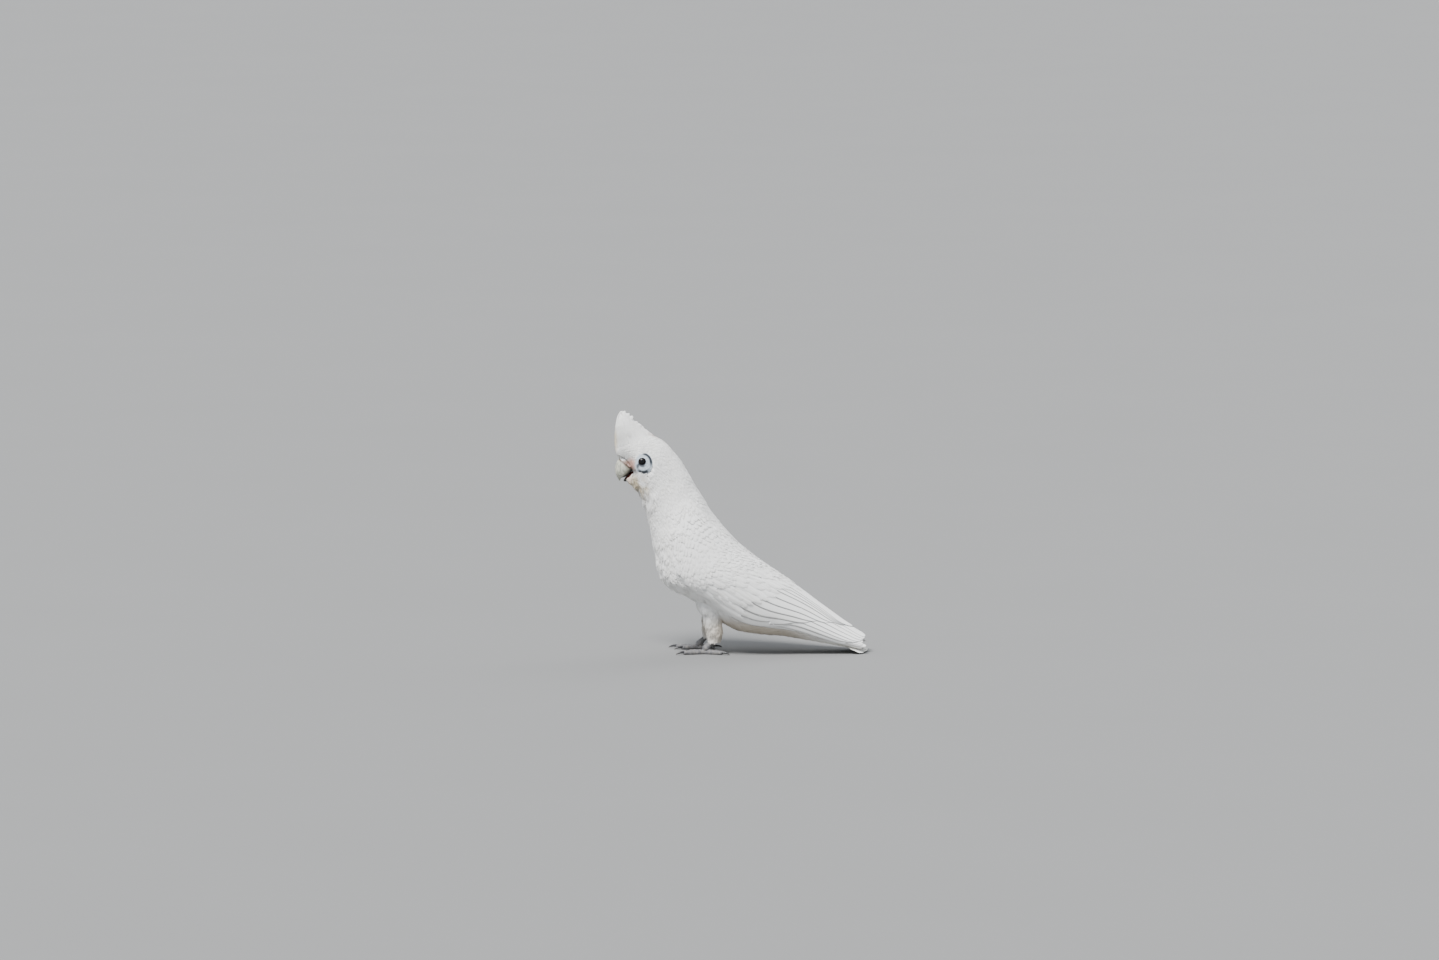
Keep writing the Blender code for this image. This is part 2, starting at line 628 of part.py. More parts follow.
def tarsus_rings(out, grow=0.0):
    """The bare lower leg from the ankle down to the sole pad, which is flat underneath."""
    part = np.linspace(0, 1, 6)
    x = ANKLE_X + (FOOT_X - ANKLE_X) * part**0.9
    z = ANKLE_Z + (FOOT_Z - ANKLE_Z) * part**1.3
    path = np.stack([x, np.full_like(x, -out), z], axis=-1)
    ahead = path[-1] - path[-2]
    path = np.concatenate([path, [path[-1] + ahead * 1.2]])
    part = np.append(part, 1.1)
    radii = TARSUS_RADIUS + (PAD_RADIUS - TARSUS_RADIUS) * np.clip((part - 0.55) / 0.45, 0, 1)
    radii[-1] = PAD_RADIUS * 0.75
    return tube(path, radii + grow, clamp=grow == 0)


def toe_path(heading, length, radius, out):
    """Points along a toe on the floor, and its radii with a pad under each joint."""
    part = np.linspace(0, 1, 6)
    angle = math.radians(heading)
    reach = length * part
    x = FOOT_X - reach * math.cos(angle)
    y = -out - reach * math.sin(angle)
    radii = radius * (1.0 - 0.18 * part + 0.09 * np.cos(part * 3 * 2 * math.pi))
    radii[0] *= 0.7
    radii[-1] *= 0.7
    z = np.full_like(x, radius * TOE_HEIGHT)
    return np.stack([x, y, z], axis=-1), radii


def claw_path(heading, length, radius, out):
    """Points along a claw that curves from the toe's end down to the floor, and its radii."""
    part = np.linspace(0, 1, 5)
    angle = math.radians(heading)
    reach = length + GAP + CLAW_LENGTH * np.sin(part * 1.25) / math.sin(1.25)
    x = FOOT_X - reach * math.cos(angle)
    y = -out - reach * math.sin(angle)
    z = 0.55 + (radius * 0.95 - 0.4) * np.cos(part * math.pi / 2) ** 0.8
    radii = CLAW_RADIUS * (1 - part) ** 0.7 + 0.3
    return np.stack([x, y, z], axis=-1), radii


def leg(side, suffix, lean, trunk):
    """One leg: thigh, feathered shank, bare tarsus with its pad, four toes and their claws."""
    grey, black = material("leg_scales", LEG_GREY, 0.55), material("claw", CLAW_BLACK, 0.3)

    def placed(name, rings, finish):
        points, faces = rings_mesh(leaning(rings, lean) * (1, side, 1))
        return mesh_object(name + suffix, points, outward(points, faces), finish)

    def room(target, rings, name):
        carve_rings(target, leaning(grown(rings, GAP), lean) * (1, side, 1), name + suffix)

    def leg_rings(stations, out, inset=0.0):
        form = Form(stations.values(), top_square=(2.2,) * len(stations), under_square=(2.2,) * len(stations))
        return form_rings(form, 2, 12, inset) - (0, out, 0)

    thigh = placed("thigh", leg_rings(THIGH, THIGH_OUT), plumage())
    shank = placed("shank", leg_rings(SHANK, SHANK_OUT), plumage())
    room(trunk, leg_rings(THIGH, THIGH_OUT, -GAP), "thigh_room")
    room(shank, leg_rings(THIGH, THIGH_OUT, -GAP), "thigh_room")
    room(trunk, leg_rings(SHANK, SHANK_OUT, -GAP), "shank_room")
    placed("foot", tarsus_rings(SHANK_OUT), grey)
    room(shank, tarsus_rings(SHANK_OUT, GAP), "tarsus_room")
    toes = {}
    for name, (heading, length, radius) in TOES.items():
        rings = tube(*toe_path(heading, length, radius, SHANK_OUT))
        toes[name] = placed(f"toe_{name}", rings, grey)
        room(toes[name], tarsus_rings(SHANK_OUT, GAP), "pad_room")
        claw = tube(*claw_path(heading, length, radius, SHANK_OUT), around=6)
        placed(f"claw_{name}", claw, black)
    for name, other in (("2", "3"), ("1", "4")):
        heading, length, radius = TOES[other]
        path, radii = toe_path(heading, length, radius, SHANK_OUT)
        room(toes[name], tube(path, radii + GAP, clamp=False), "toe_room")


def main():
    clear_scene()
    pieces = body()
    wings()
    carve_wings(pieces["trunk"])
    tail(pieces["trunk"])
    crest(grown(body_rings(0.0, NECK_FRONT + 0.3, -GAP), GAP))
    bill(pieces["head"])
    eyes(pieces["head"])
    leg(1, "_l", 0.0, pieces["trunk"])
    leg(-1, "_r", RIGHT_LEG_LEAN, pieces["trunk"])


main()
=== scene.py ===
"""Looks of a life-size standing little corella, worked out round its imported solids.

Frame: metres, +Z up. The bird faces -X and its left side faces -Y. The solids give the outside of the
plumage. Here one skin lies inside that outline by the depth of the coat, and feathers are laid over it
in vanes that start at the skin and end at the outline. Every lie of feathers is a sheet with two
directions: along the way the feathers point, and across it.
"""

import logging
import math
from collections.abc import Callable
from dataclasses import dataclass, field, replace
from enum import Enum

import bpy
import numpy as np
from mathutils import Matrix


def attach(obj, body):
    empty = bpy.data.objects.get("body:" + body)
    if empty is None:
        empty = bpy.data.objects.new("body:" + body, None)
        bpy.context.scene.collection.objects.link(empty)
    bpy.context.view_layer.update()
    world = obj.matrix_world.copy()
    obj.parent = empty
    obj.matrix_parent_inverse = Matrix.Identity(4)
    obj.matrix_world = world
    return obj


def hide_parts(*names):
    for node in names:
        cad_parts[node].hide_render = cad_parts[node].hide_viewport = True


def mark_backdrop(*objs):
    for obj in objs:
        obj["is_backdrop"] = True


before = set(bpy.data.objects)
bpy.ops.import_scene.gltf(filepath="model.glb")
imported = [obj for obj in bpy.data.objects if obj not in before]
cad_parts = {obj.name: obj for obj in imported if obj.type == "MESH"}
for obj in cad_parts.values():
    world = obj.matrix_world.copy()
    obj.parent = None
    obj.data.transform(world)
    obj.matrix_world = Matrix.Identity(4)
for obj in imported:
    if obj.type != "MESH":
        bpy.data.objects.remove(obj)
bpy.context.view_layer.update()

MM = 0.001
ROOT = "root"
LEFT, RIGHT = 1, -1
SIDES = {"l": LEFT, "r": RIGHT}
LOWEST = 0.0001  # height of the lowest feather above the floor
PATCH = 0.003  # width of one feather's patch on the bake map
EVEN_STEPS = (0.7548776662466927, 0.5698402909980532)  # shares that fill a square evenly when repeated
SPREAD_CELLS = (170, 150)  # cells along a and b into which a sheet is cut to spread roots over it
SKIN_CELL = 0.0015  # metres, the size of the skin's remeshed cells
FOOT_CELL = 0.00034  # metres, the same for a foot
HALVINGS = 40  # enough to find a station to the last digit
EYE_RING = (-112.4, 219.4)  # mm: x and z of the middle of the bare skin round the eye

Array = np.ndarray
Material = bpy.types.Material
Row = tuple[float, ...]
Pair = tuple[float, float]
Triple = tuple[float, float, float]
Exposed = Callable[[Array, Array, Array], Array]  # area in mm2 that a feather shows, from points, a and b
LOG = logging.getLogger("corella")


# ---------------------------------------------------------------------------------------- curves


def smooth_step(low: float, high: float, value: Array) -> Array:
    """0 below low, 1 above high, and an S-shaped ramp between: t squared times 3 - 2t."""
    part = np.clip((value - low) / (high - low), 0.0, 1.0)
    return part * part * (3.0 - 2.0 * part)


def along(table: Array, place: Array) -> Array:
    """Smooth values between a table's rows: a Catmull-Rom curve through them.

    Args:
        table: Rows of numbers, one for each whole place.
        place: Row numbers, which may be fractions.

    Returns:
        The row at each place.
    """
    rows = np.asarray(table, float)
    last = len(rows) - 1
    place = np.clip(np.asarray(place, float), 0.0, last)
    first = np.minimum(place.astype(int), last - 1)
    part = place - first
    if rows.ndim > 1:
        part = part[..., None]
    before, start, end, after = (rows[np.clip(first + k, 0, last)] for k in (-1, 0, 1, 2))
    linear = (end - before) * part
    square = (2 * before - 5 * start + 4 * end - after) * part**2
    cube = (3 * start - before - 3 * end + after) * part**3
    return 0.5 * (2 * start + linear + square + cube)


def unit(vectors: Array) -> Array:
    """The vectors at length 1."""
    return vectors / np.maximum(np.linalg.norm(vectors, axis=-1, keepdims=True), 1e-12)


def paired(first: Array | float, second: Array | float) -> list[Array]:
    """Both as arrays of one shape."""
    return np.broadcast_arrays(np.asarray(first, float), np.asarray(second, float))


def turns(count: int, start: float = 0.0) -> Array:
    """Even turns once round from a start, without the last one that closes the circle."""
    return np.linspace(start, start + 2 * math.pi, count, endpoint=False)


def bowed(first: Array, middle: Array, last: Array, share: Array) -> Array:
    """Points of a curve with three control points: (1-s)^2 first + 2s(1-s) middle + s^2 last."""
    return (1 - share) ** 2 * first + 2 * share * (1 - share) * middle + share**2 * last


def ripple(points: Array, size: float, seed: int, waves: int = 14) -> Array:
    """Gentle unevenness from -1 to 1: a sum of plane waves whose directions are drawn at random.

    Args:
        points: Places in metres, with x, y, z last.
        size: Length of a wave in metres.
        seed: Start of the random draw.
        waves: How many waves are summed.

    Returns:
        One number for each place.
    """
    rng = np.random.default_rng(seed)
    ways = unit(rng.normal(size=(waves, 3))) * (2 * math.pi / size) * rng.uniform(0.6, 1.5, (waves, 1))
    return np.sin(points @ ways.T + rng.uniform(0, 2 * math.pi, waves)).sum(-1) / math.sqrt(waves)


# ---------------------------------------------------------------------------------------- meshes


@dataclass
class Shape:
    """A mesh before it is made: points in metres, faces of equal corners, and values for each point."""

    points: Array
    faces: list[Array]
    maps: dict[str, Array] = field(default_factory=dict)
    marks: dict[str, Array] = field(default_factory=dict)

    @staticmethod
    def joined(shapes: list["Shape"]) -> "Shape":
        """One shape from several, which keep their maps and marks."""
        starts = np.cumsum([0] + [len(shape.points) for shape in shapes[:-1]])
        return Shape(
            np.concatenate([shape.points for shape in shapes]),
            [faces + start for shape, start in zip(shapes, starts) for faces in shape.faces],
            {name: np.concatenate([shape.maps[name] for shape in shapes]) for name in shapes[0].maps},
            {name: np.concatenate([shape.marks[name] for shape in shapes]) for name in shapes[0].marks},
        )

    def outward(self) -> "Shape":
        """The same closed shape with its faces turned to face out, by the sign of its volume."""
        volume = 0.0
        for faces in self.faces:
            corners = self.points[faces]
            for second in range(1, faces.shape[1] - 1):
                across = np.cross(corners[:, second], corners[:, second + 1])
                volume += float((corners[:, 0] * across).sum())
        return self if volume > 0 else self.turned()

    def turned(self) -> "Shape":
        """The same shape with every face turned round."""
        return Shape(self.points, [faces[:, ::-1] for faces in self.faces], self.maps, self.marks)

    def mirrored(self) -> "Shape":
        """The shape on the other side of the bird's middle."""
        flipped = Shape(self.points * (1, -1, 1), self.faces, self.maps, self.marks)
        return flipped.turned()

    def mesh_object(self, name: str, finish: Material) -> bpy.types.Object:
        """Makes the shape a smooth-shaded object at the origin.

        Args:
            name: The new object's name.
            finish: Its material.

        Returns:
            The object, linked to the scene.
        """
        corners = np.concatenate([faces.ravel() for faces in self.faces]).astype(np.int32)
        sizes = np.concatenate([np.full(len(faces), faces.shape[1]) for faces in self.faces])
        starts = np.concatenate([[0], np.cumsum(sizes)[:-1]]).astype(np.int32)
        mesh = bpy.data.meshes.new(name)
        mesh.vertices.add(len(self.points))
        mesh.vertices.foreach_set("co", self.points.astype(np.float32).ravel())
        mesh.loops.add(len(corners))
        mesh.loops.foreach_set("vertex_index", corners)
        mesh.polygons.add(len(sizes))
        mesh.polygons.foreach_set("loop_start", starts)
        mesh.update(calc_edges=True)
        for key, values in self.maps.items():
            layer = mesh.uv_layers.new(name=key)
            layer.data.foreach_set("uv", values[corners].astype(np.float32).ravel())
        for key, values in self.marks.items():
            mark = mesh.attributes.new(key, "FLOAT", "POINT")
            mark.data.foreach_set("value", values.astype(np.float32))
        mesh.shade_smooth()
        mesh.materials.append(finish)
        return linked(name, mesh)


def linked(name: str, data: bpy.types.ID) -> bpy.types.Object:
    """A new object at the origin for some data, linked to the scene."""
    made = bpy.data.objects.new(name, data)
    bpy.context.scene.collection.objects.link(made)
    return made


def grid_faces(rows: int, columns: int, looped: bool = False) -> Array:
    """Quads of a grid numbered row by row, whose last column meets its first.

    Args:
        rows: Number of rows of points.
        columns: Number of columns of points.
        looped: Whether the last row meets the first one too.

    Returns:
        The four corners of each quad.
    """
    row, column = np.meshgrid(np.arange(rows - (not looped)), np.arange(columns), indexing="ij")
    row, column = row.ravel(), column.ravel()
    next_row, next_column = (row + 1) % rows, (column + 1) % columns
    corners = ((row, column), (row, next_column), (next_row, next_column), (next_row, column))
    return np.stack([line * columns + place for line, place in corners], axis=1)


def closed_rings(rings: Array) -> Shape:
    """A closed tube through rings of points, its ends filled by fans to their middles."""
    count, around = rings.shape[:2]
    points = np.concatenate([rings.reshape(-1, 3), rings[:1].mean(1), rings[-1:].mean(1)])
    step = np.arange(around)
    following = (step + 1) % around
    first = np.stack([np.full(around, count * around), following, step], axis=1)
    end = (count - 1) * around
    last = np.stack([np.full(around, count * around + 1), end + step, end + following], axis=1)
    return Shape(points, [grid_faces(count, around), first, last]).outward()


def drawn_in(rings: Array, share: Array | Triple) -> Shape:
    """A closed tube through rings whose points keep a share of their way out from each ring's middle."""
    middle = rings.mean(1, keepdims=True)
    return closed_rings(middle + (rings - middle) * share)


def tube_map(across: Array, down: Array) -> Array:
    """A map for a closed tube: two values at each point of its rings, then at its two ends."""
    rings = np.stack(np.broadcast_arrays(across, down), axis=-1).reshape(-1, 2)
    return np.concatenate([rings, [[0.5, 0.0]], [[0.5, 1.0]]])


def tube(path: Array, radii: Array, around: int) -> Array:
    """Rings round a path, square to it: a circle in the plane across the path at each of its points."""
    ahead = unit(np.gradient(path, axis=0))
    across = unit(np.cross(ahead, (0.0, 0.0, 1.0)))
    above = np.cross(across, ahead)
    turn = turns(around)[None, :, None]
    spokes = np.cos(turn) * across[:, None] + np.sin(turn) * above[:, None]
    return path[:, None] + radii[:, None, None] * spokes


def voxel_union(shapes: list[Shape], name: str, finish: Material, cell: float) -> bpy.types.Object:
    """One closed surface round several overlapping closed shapes.

    Args:
        shapes: Closed shapes that overlap.
        name: The new object's name.
        finish: Its material.
        cell: Size of the remesh's cells in metres.

    Returns:
        The remeshed object, with no modifier left on it.
    """
    made = Shape.joined(shapes).mesh_object(name, finish)
    remesh = made.modifiers.new("union", "REMESH")
    remesh.mode = "VOXEL"
    remesh.voxel_size = cell
    remesh.use_smooth_shade = True
    soften = made.modifiers.new("soften", "SMOOTH")
    soften.factor = 0.5
    soften.iterations = 2
    bpy.context.view_layer.update()
    shaped = bpy.data.meshes.new_from_object(made.evaluated_get(bpy.context.evaluated_depsgraph_get()))
    made.modifiers.clear()
    made.data = shaped
    shaped.shade_smooth()
    return made


# ---------------------------------------------------------------------------------------- forms


@dataclass(frozen=True)
class Form:
    """A body that sections follow: each joins a top point to an under point and has a half width.

    A section is a superellipse. Its points lie a share of the way from the top to the under line, and a
    part of the half width out, both powers of the cosine and sine of the turn round the section.
    """

    stations: tuple[Row, ...]  # mm: top x, z, under x, z, half width
    widest: Row | float = 0.5  # share of the depth at which a section is widest
    top_square: Row | float = 2.0  # 2 is an ellipse, less is a ridge, more is a box
    under_square: Row | float = 2.0

    @property
    def end(self) -> int:
        """The last station's number."""
        return len(self.stations) - 1

    def shape(self, place: Array) -> tuple[Array, ...]:
        """Top, under, half width, widest share and both squarenesses at a station number."""
        row = along(self.stations, place)
        tables = (self.widest, self.top_square, self.under_square)
        others = (along(np.broadcast_to(table, len(self.stations)), place) for table in tables)
        return (row[..., 0:2], row[..., 2:4], row[..., 4], *others)

    def points(self, place: Array, turn: Array) -> Array:
        """Points in metres at station numbers and turns: 0 is the top, pi the under line, + the left.

        The share of the way down is widest times 1 - |cos|^p above and widest + (1 - widest) |cos|^p
        below, and the way out is the half width times |sin|^p, with p = 2 / squareness.
        """
        place, turn = paired(place, turn)
        top, under, half, widest, top_square, under_square = self.shape(place)
        cosine, sine = np.cos(turn), np.sin(turn)
        upper = cosine >= 0
        power = 2.0 / np.where(upper, top_square, under_square)
        reach = np.abs(cosine) ** power
        share = np.where(upper, widest * (1 - reach), widest + (1 - widest) * reach)
        flat = top + (under - top) * share[..., None]
        across = -half * np.sign(sine) * np.abs(sine) ** power
        return np.stack([flat[..., 0], across, flat[..., 1]], axis=-1) * MM

    def middle(self, place: Array) -> Array:
        """Points in metres halfway between the top and the under line."""
        return (self.points(place, 0.0) + self.points(place, math.pi)) / 2

    def turn_at(self, place: Array, share: Array) -> Array:
        """The turn, on the left side, at which a section is that share of its depth below the top."""
        _, _, _, widest, top_square, under_square = self.shape(place)
        above = np.clip(1 - share / widest, 0, 1) ** (top_square / 2)
        below = np.clip((share - widest) / (1 - widest), 0, 1) ** (under_square / 2)
        return np.where(share <= widest, np.arccos(above), math.pi - np.arccos(below))

    def side(self, x: Array, z: Array) -> Array:
        """Half width in metres where a line along Y passes at x, z, found by halving the stations."""
        low, high = np.zeros_like(x), np.full_like(x, float(self.end))
        for _ in range(HALVINGS):
            middle = (low + high) / 2
            top, under, *_ = self.shape(middle)
            top, under = top * MM, under * MM
            past = (under[..., 0] - top[..., 0]) * (z - top[..., 1])
            past -= (under[..., 1] - top[..., 1]) * (x - top[..., 0])
            low, high = np.where(past > 0, middle, low), np.where(past > 0, high, middle)
        top, under, *_ = self.shape(low)
        top, under = top * MM, under * MM
        down = np.hypot(x - top[..., 0], z - top[..., 1])
        depth = np.hypot(under[..., 0] - top[..., 0], under[..., 1] - top[..., 1])
        return -self.points(low, self.turn_at(low, down / depth))[..., 1]


@dataclass(frozen=True)
class BodyForm(Form):
    """The outline of head, neck and trunk, whose face opens round the bill."""

    face_open: float = 1.45  # stations by which the face lies further back beside the bill than above
    face_pinch: float = 0.30  # share by which the face's edge is drawn in towards the bill
    muzzle: Triple = (-122.0, 0.0, 211.0)  # mm, where the face's lining runs in to
    gape: Triple = (-126.8, 208.0, 4.6)  # mm: x, z and reach of the dent behind the bill

    def surface(self, place: Array, turn: Array) -> Array:
        """Points of the plumage's outside, with the face's first rings run back and drawn in.

        Below place 0 they run in from the face's rim towards the muzzle, by a share of minus the place.
        A round dent behind the corner of the mouth draws the points in and back.
        """
        place, turn = np.broadcast_arrays(place, turn)
        inward = np.maximum(-place, 0)[..., None]
        place = np.maximum(place, 0)
        beside = np.sin(turn) ** 2
        opening = self.face_open * beside
        pinch = self.face_pinch * beside * np.clip(1 - place / 1.5, 0, 1) ** 1.5
        place = np.where(place < 2, opening + place * (1 - opening / 2), place)
        points = self.points(place, turn)
        points[..., 1] *= 1 - pinch
        x, z, reach = (part * MM for part in self.gape)
        dent = np.exp(-((points[..., 0] - x) ** 2 + (points[..., 2] - z) ** 2) / reach**2)
        dent = dent * smooth_step(0.3, 0.7, np.abs(np.sin(turn)))
        points[..., 0] += 2.4 * MM * dent
        points[..., 1] *= 1 - 0.26 * dent
        return points + (np.asarray(self.muzzle) * MM - points) * inward


BODY = BodyForm(
    stations=(
        (-141.5, 223.5, -128.0, 193.0, 10.8),  # face
        (-144.6, 238.0, -122.5, 187.0, 12.4),  # brow
        (-122.0, 251.0, -117.4, 181.4, 22.6),  # crown
        (-93.9, 246.0, -114.5, 174.0, 26.4),  # occiput
        (-72.1, 224.1, -111.6, 163.6, 28.0),  # nape
        (-51.5, 190.1, -106.5, 141.7, 34.5),  # neck
        (-28.6, 154.9, -100.8, 115.2, 46.0),  # shoulder
        (-4.6, 127.9, -90.5, 79.5, 53.0),  # breast
        (22.9, 104.8, -54.5, 58.5, 54.5),  # back
        (55.0, 82.4, -9.0, 26.0, 49.0),  # loin
        (87.0, 57.6, 49.2, 18.4, 38.5),  # rump
        (117.9, 34.6, 103.0, 9.2, 29.0),  # tail
        (143.1, 18.4, 144.3, 0.5, 24.0),  # tip
    ),
    widest=(0.50, 0.52, 0.55, 0.58, 0.55, 0.52, 0.50, 0.50, 0.50, 0.52, 0.58, 0.62, 0.62),
    top_square=(2.2, 2.2, 2.2, 2.1, 2.1, 2.1, 2.1, 2.1, 2.0, 1.9, 1.75, 1.6, 1.6),
    under_square=(2.2, 2.1, 2.0, 1.9, 2.0, 2.1, 2.2, 2.3, 2.3, 2.3, 2.5, 2.8, 2.8),
)


@dataclass(frozen=True)
class TailForm(Form):
    """The closed tail, a flat fan with a rounded end whose underside meets the floor."""

    rounding: float = 6.0  # mm by which the outer corners of the end fall back
    floor: float = 0.2  # mm, the lowest that a feather lies

    def sheet(self, place: Array, share: Array) -> Array:
        """Points of the upper side: share runs across from -1 on the left to 1 on the right.

        The depth below the top line is widest times 1 - (1 - |share|^n)^(1/n), n the top squareness.
        """
        place, share = paired(place, share)
        top, under, half, widest, top_square, _ = self.shape(place)
        out = np.clip(np.abs(share), 0, 0.995)
        depth = widest * (1 - (1 - out**top_square) ** (1 / top_square))
        flat = top + (under - top) * depth[..., None]
        back = self.rounding * np.clip(place / self.end, 0, 1) ** 3 * share**2
        low = np.maximum(flat[..., 1], self.floor)
        return np.stack([flat[..., 0] - back, half * share, low], axis=-1) * MM


TAIL = TailForm(
    stations=(
        (64.0, 35.0, 60.0, 25.0, 15.0),  # root
        (101.0, 21.0, 98.5, 11.5, 20.5),  # middle
        (144.5, 3.0, 145.9, -1.2, 26.0),  # end
    ),
    top_square=(2.4, 2.6, 3.0),
    under_square=(2.4, 3.0, 3.4),
)

CREST = Form(
    stations=(
        (-139.0, 229.0, -99.6, 241.0, 9.0),  # root
        (-145.2, 238.2, -101.9, 249.6, 11.5),  # brow
        (-145.9, 247.7, -109.9, 255.6, 11.5),  # lower
        (-144.8, 259.2, -120.7, 264.2, 9.5),  # middle
        (-142.4, 270.2, -129.4, 273.6, 6.5),  # upper
        (-139.3, 277.6, -137.6, 277.4, 1.6),  # tip
    ),
    top_square=2.2,
    under_square=1.8,
)


# ---------------------------------------------------------------------------------------- finishes


class Value:
    """A link in a material's nodes, which sums and products can be written with."""

    def __init__(self, paint: "Paint", socket: bpy.types.NodeSocket) -> None:
        """Keeps the paint it belongs to and the socket it comes from."""
        self.paint = paint
        self.socket = socket

    def math(self, operation: str, *others: "Value | float") -> "Value":
        """One Math node on this value and others."""
        return self.paint.math(operation, self, *others)

    def __add__(self, other: "Value | float") -> "Value":
        """Self + other."""
        return self.math("ADD", other)

    __radd__ = __add__

    def __sub__(self, other: "Value | float") -> "Value":
        """Self - other."""
        return self.math("SUBTRACT", other)

    def __rsub__(self, other: float) -> "Value":
        """Other - self."""
        return self.paint.math("SUBTRACT", other, self)

    def __mul__(self, other: "Value | float") -> "Value":
        """Self times other."""
        return self.math("MULTIPLY", other)

    __rmul__ = __mul__

    def ramp(self, low: float, high: float) -> "Value":
        """0 below low and 1 above high, with an S-shaped ramp between."""
        settings = {"interpolation_type": "SMOOTHSTEP"}
        return self.paint.node("ShaderNodeMapRange", settings, {"Value": self, 1: low, 2: high})


class Paint:
    """One material's nodes round its Principled shader."""

    def __init__(self, name: str, colour: Triple, **constants: float) -> None:
        """Makes the material with a colour and constants for the shader's own sockets."""
        self.material = bpy.data.materials.new(name)
        self.material.use_nodes = True
        self.tree = self.material.node_tree
        self.shader = self.tree.nodes["Principled BSDF"]
        self.set("Base Color", (*colour, 1.0))
        for key, constant in constants.items():
            self.set(key.replace("_", " ").title().replace("Ior", "IOR"), constant)

    def feed(self, socket: bpy.types.NodeSocket, value: object) -> None:
        """Links a value to a socket, or sets a constant there."""
        if isinstance(value, Value):
            self.tree.links.new(value.socket, socket)
        else:
            socket.default_value = value

    def set(self, name: str, value: object) -> None:
        """Sets or links one of the shader's sockets."""
        self.feed(self.shader.inputs[name], value)

    def node(self, kind: str, settings: dict, inputs: dict, output: int | str = 0) -> Value:
        """Adds a node.

        Args:
            kind: The node's type.
            settings: Its own settings, which are set first.
            inputs: Values or links by the name or number of a socket.
            output: The socket that the result comes from.

        Returns:
            The result as a value.
        """
        made = self.tree.nodes.new(kind)
        for key, setting in settings.items():
            setattr(made, key, setting)
        for key, value in inputs.items():
            self.feed(made.inputs[key], value)
        return Value(self, made.outputs[output])

    def math(self, operation: str, *values: "Value | float") -> Value:
        """One Math node."""
        return self.node("ShaderNodeMath", {"operation": operation}, dict(enumerate(values)))

    def vector(self, operation: str, *values: object, output: int = 0) -> Value:
        """One Vector Math node."""
        return self.node("ShaderNodeVectorMath", {"operation": operation}, dict(enumerate(values)), output)

    def mix(self, share: Value, first: object, second: object) -> Value:
        """A colour between two, at a share from 0 to 1."""
        colours = {
            key: value if isinstance(value, Value) else (*value, 1.0)
            for key, value in ((6, first), (7, second))
        }
        return self.node("ShaderNodeMix", {"data_type": "RGBA"}, {0: share, **colours}, 2)

    def place(self) -> Value:
        """The point's place in metres."""
        return self.node("ShaderNodeTexCoord", {}, {}, "Object")

    def part(self, vector: Value, axis: int) -> Value:
        """One coordinate of a vector."""
        return self.node("ShaderNodeSeparateXYZ", {}, {0: vector}, axis)

    def spot(self, centre: Triple, radii: Triple, soft: float = 0.5) -> Value:
        """1 inside an ellipsoid given in mm, fading to 0 at its surface over a soft share of it."""
        away = self.vector("SUBTRACT", self.place(), tuple(c * MM for c in centre))
        scaled = self.vector("DIVIDE", away, tuple(r * MM for r in radii))
        return 1.0 - self.vector("LENGTH", scaled, output=1).ramp(1.0 - soft, 1.0)

    def noise(self, vector: Value, scale: float, detail: float = 2.0) -> Value:
        """Soft noise from 0 to 1, its scale in waves for each unit of the vector."""
        return self.node("ShaderNodeTexNoise", {}, {"Vector": vector, "Scale": scale, "Detail": detail})

    def streaks(self, vector: Value, squeeze: Triple, scale: float, detail: float = 2.0) -> Value:
        """Soft noise squeezed along each coordinate of a vector, so that it is drawn out along the others."""
        return self.noise(self.vector("MULTIPLY", vector, squeeze), scale, detail)

    def map(self, name: str) -> Value:
        """A UV map's coordinates."""
        return self.node("ShaderNodeUVMap", {"uv_map": name}, {})

    def mark(self, name: str) -> Value:
        """A number kept at each point of the mesh."""
        return self.node("ShaderNodeAttribute", {"attribute_name": name}, {}, 2)

    def bump(self, height: Value, distance: float, strength: float = 1.0) -> None:
        """Raises the shader's surface by a height from 0 to 1 times a distance in metres."""
        inputs = {"Height": height, "Distance": distance, "Strength": strength}
        self.set("Normal", self.node("ShaderNodeBump", {}, inputs))


class Lay(Enum):
    """What a plumage finish is painted on."""

    SKIN = "skin"
    CONTOUR = "contour"
    COVERT = "covert"
    QUILL = "quill"
    TAIL = "tail"

    @property
    def stiff(self) -> bool:
        """Whether its feathers are long quills."""
        return self in (Lay.QUILL, Lay.TAIL)

    @property
    def folded(self) -> bool:
        """Whether it is on the folded wing, which is left out of the painted shade that the belly beneath it
        gets.
        """
        return self in (Lay.COVERT, Lay.QUILL)


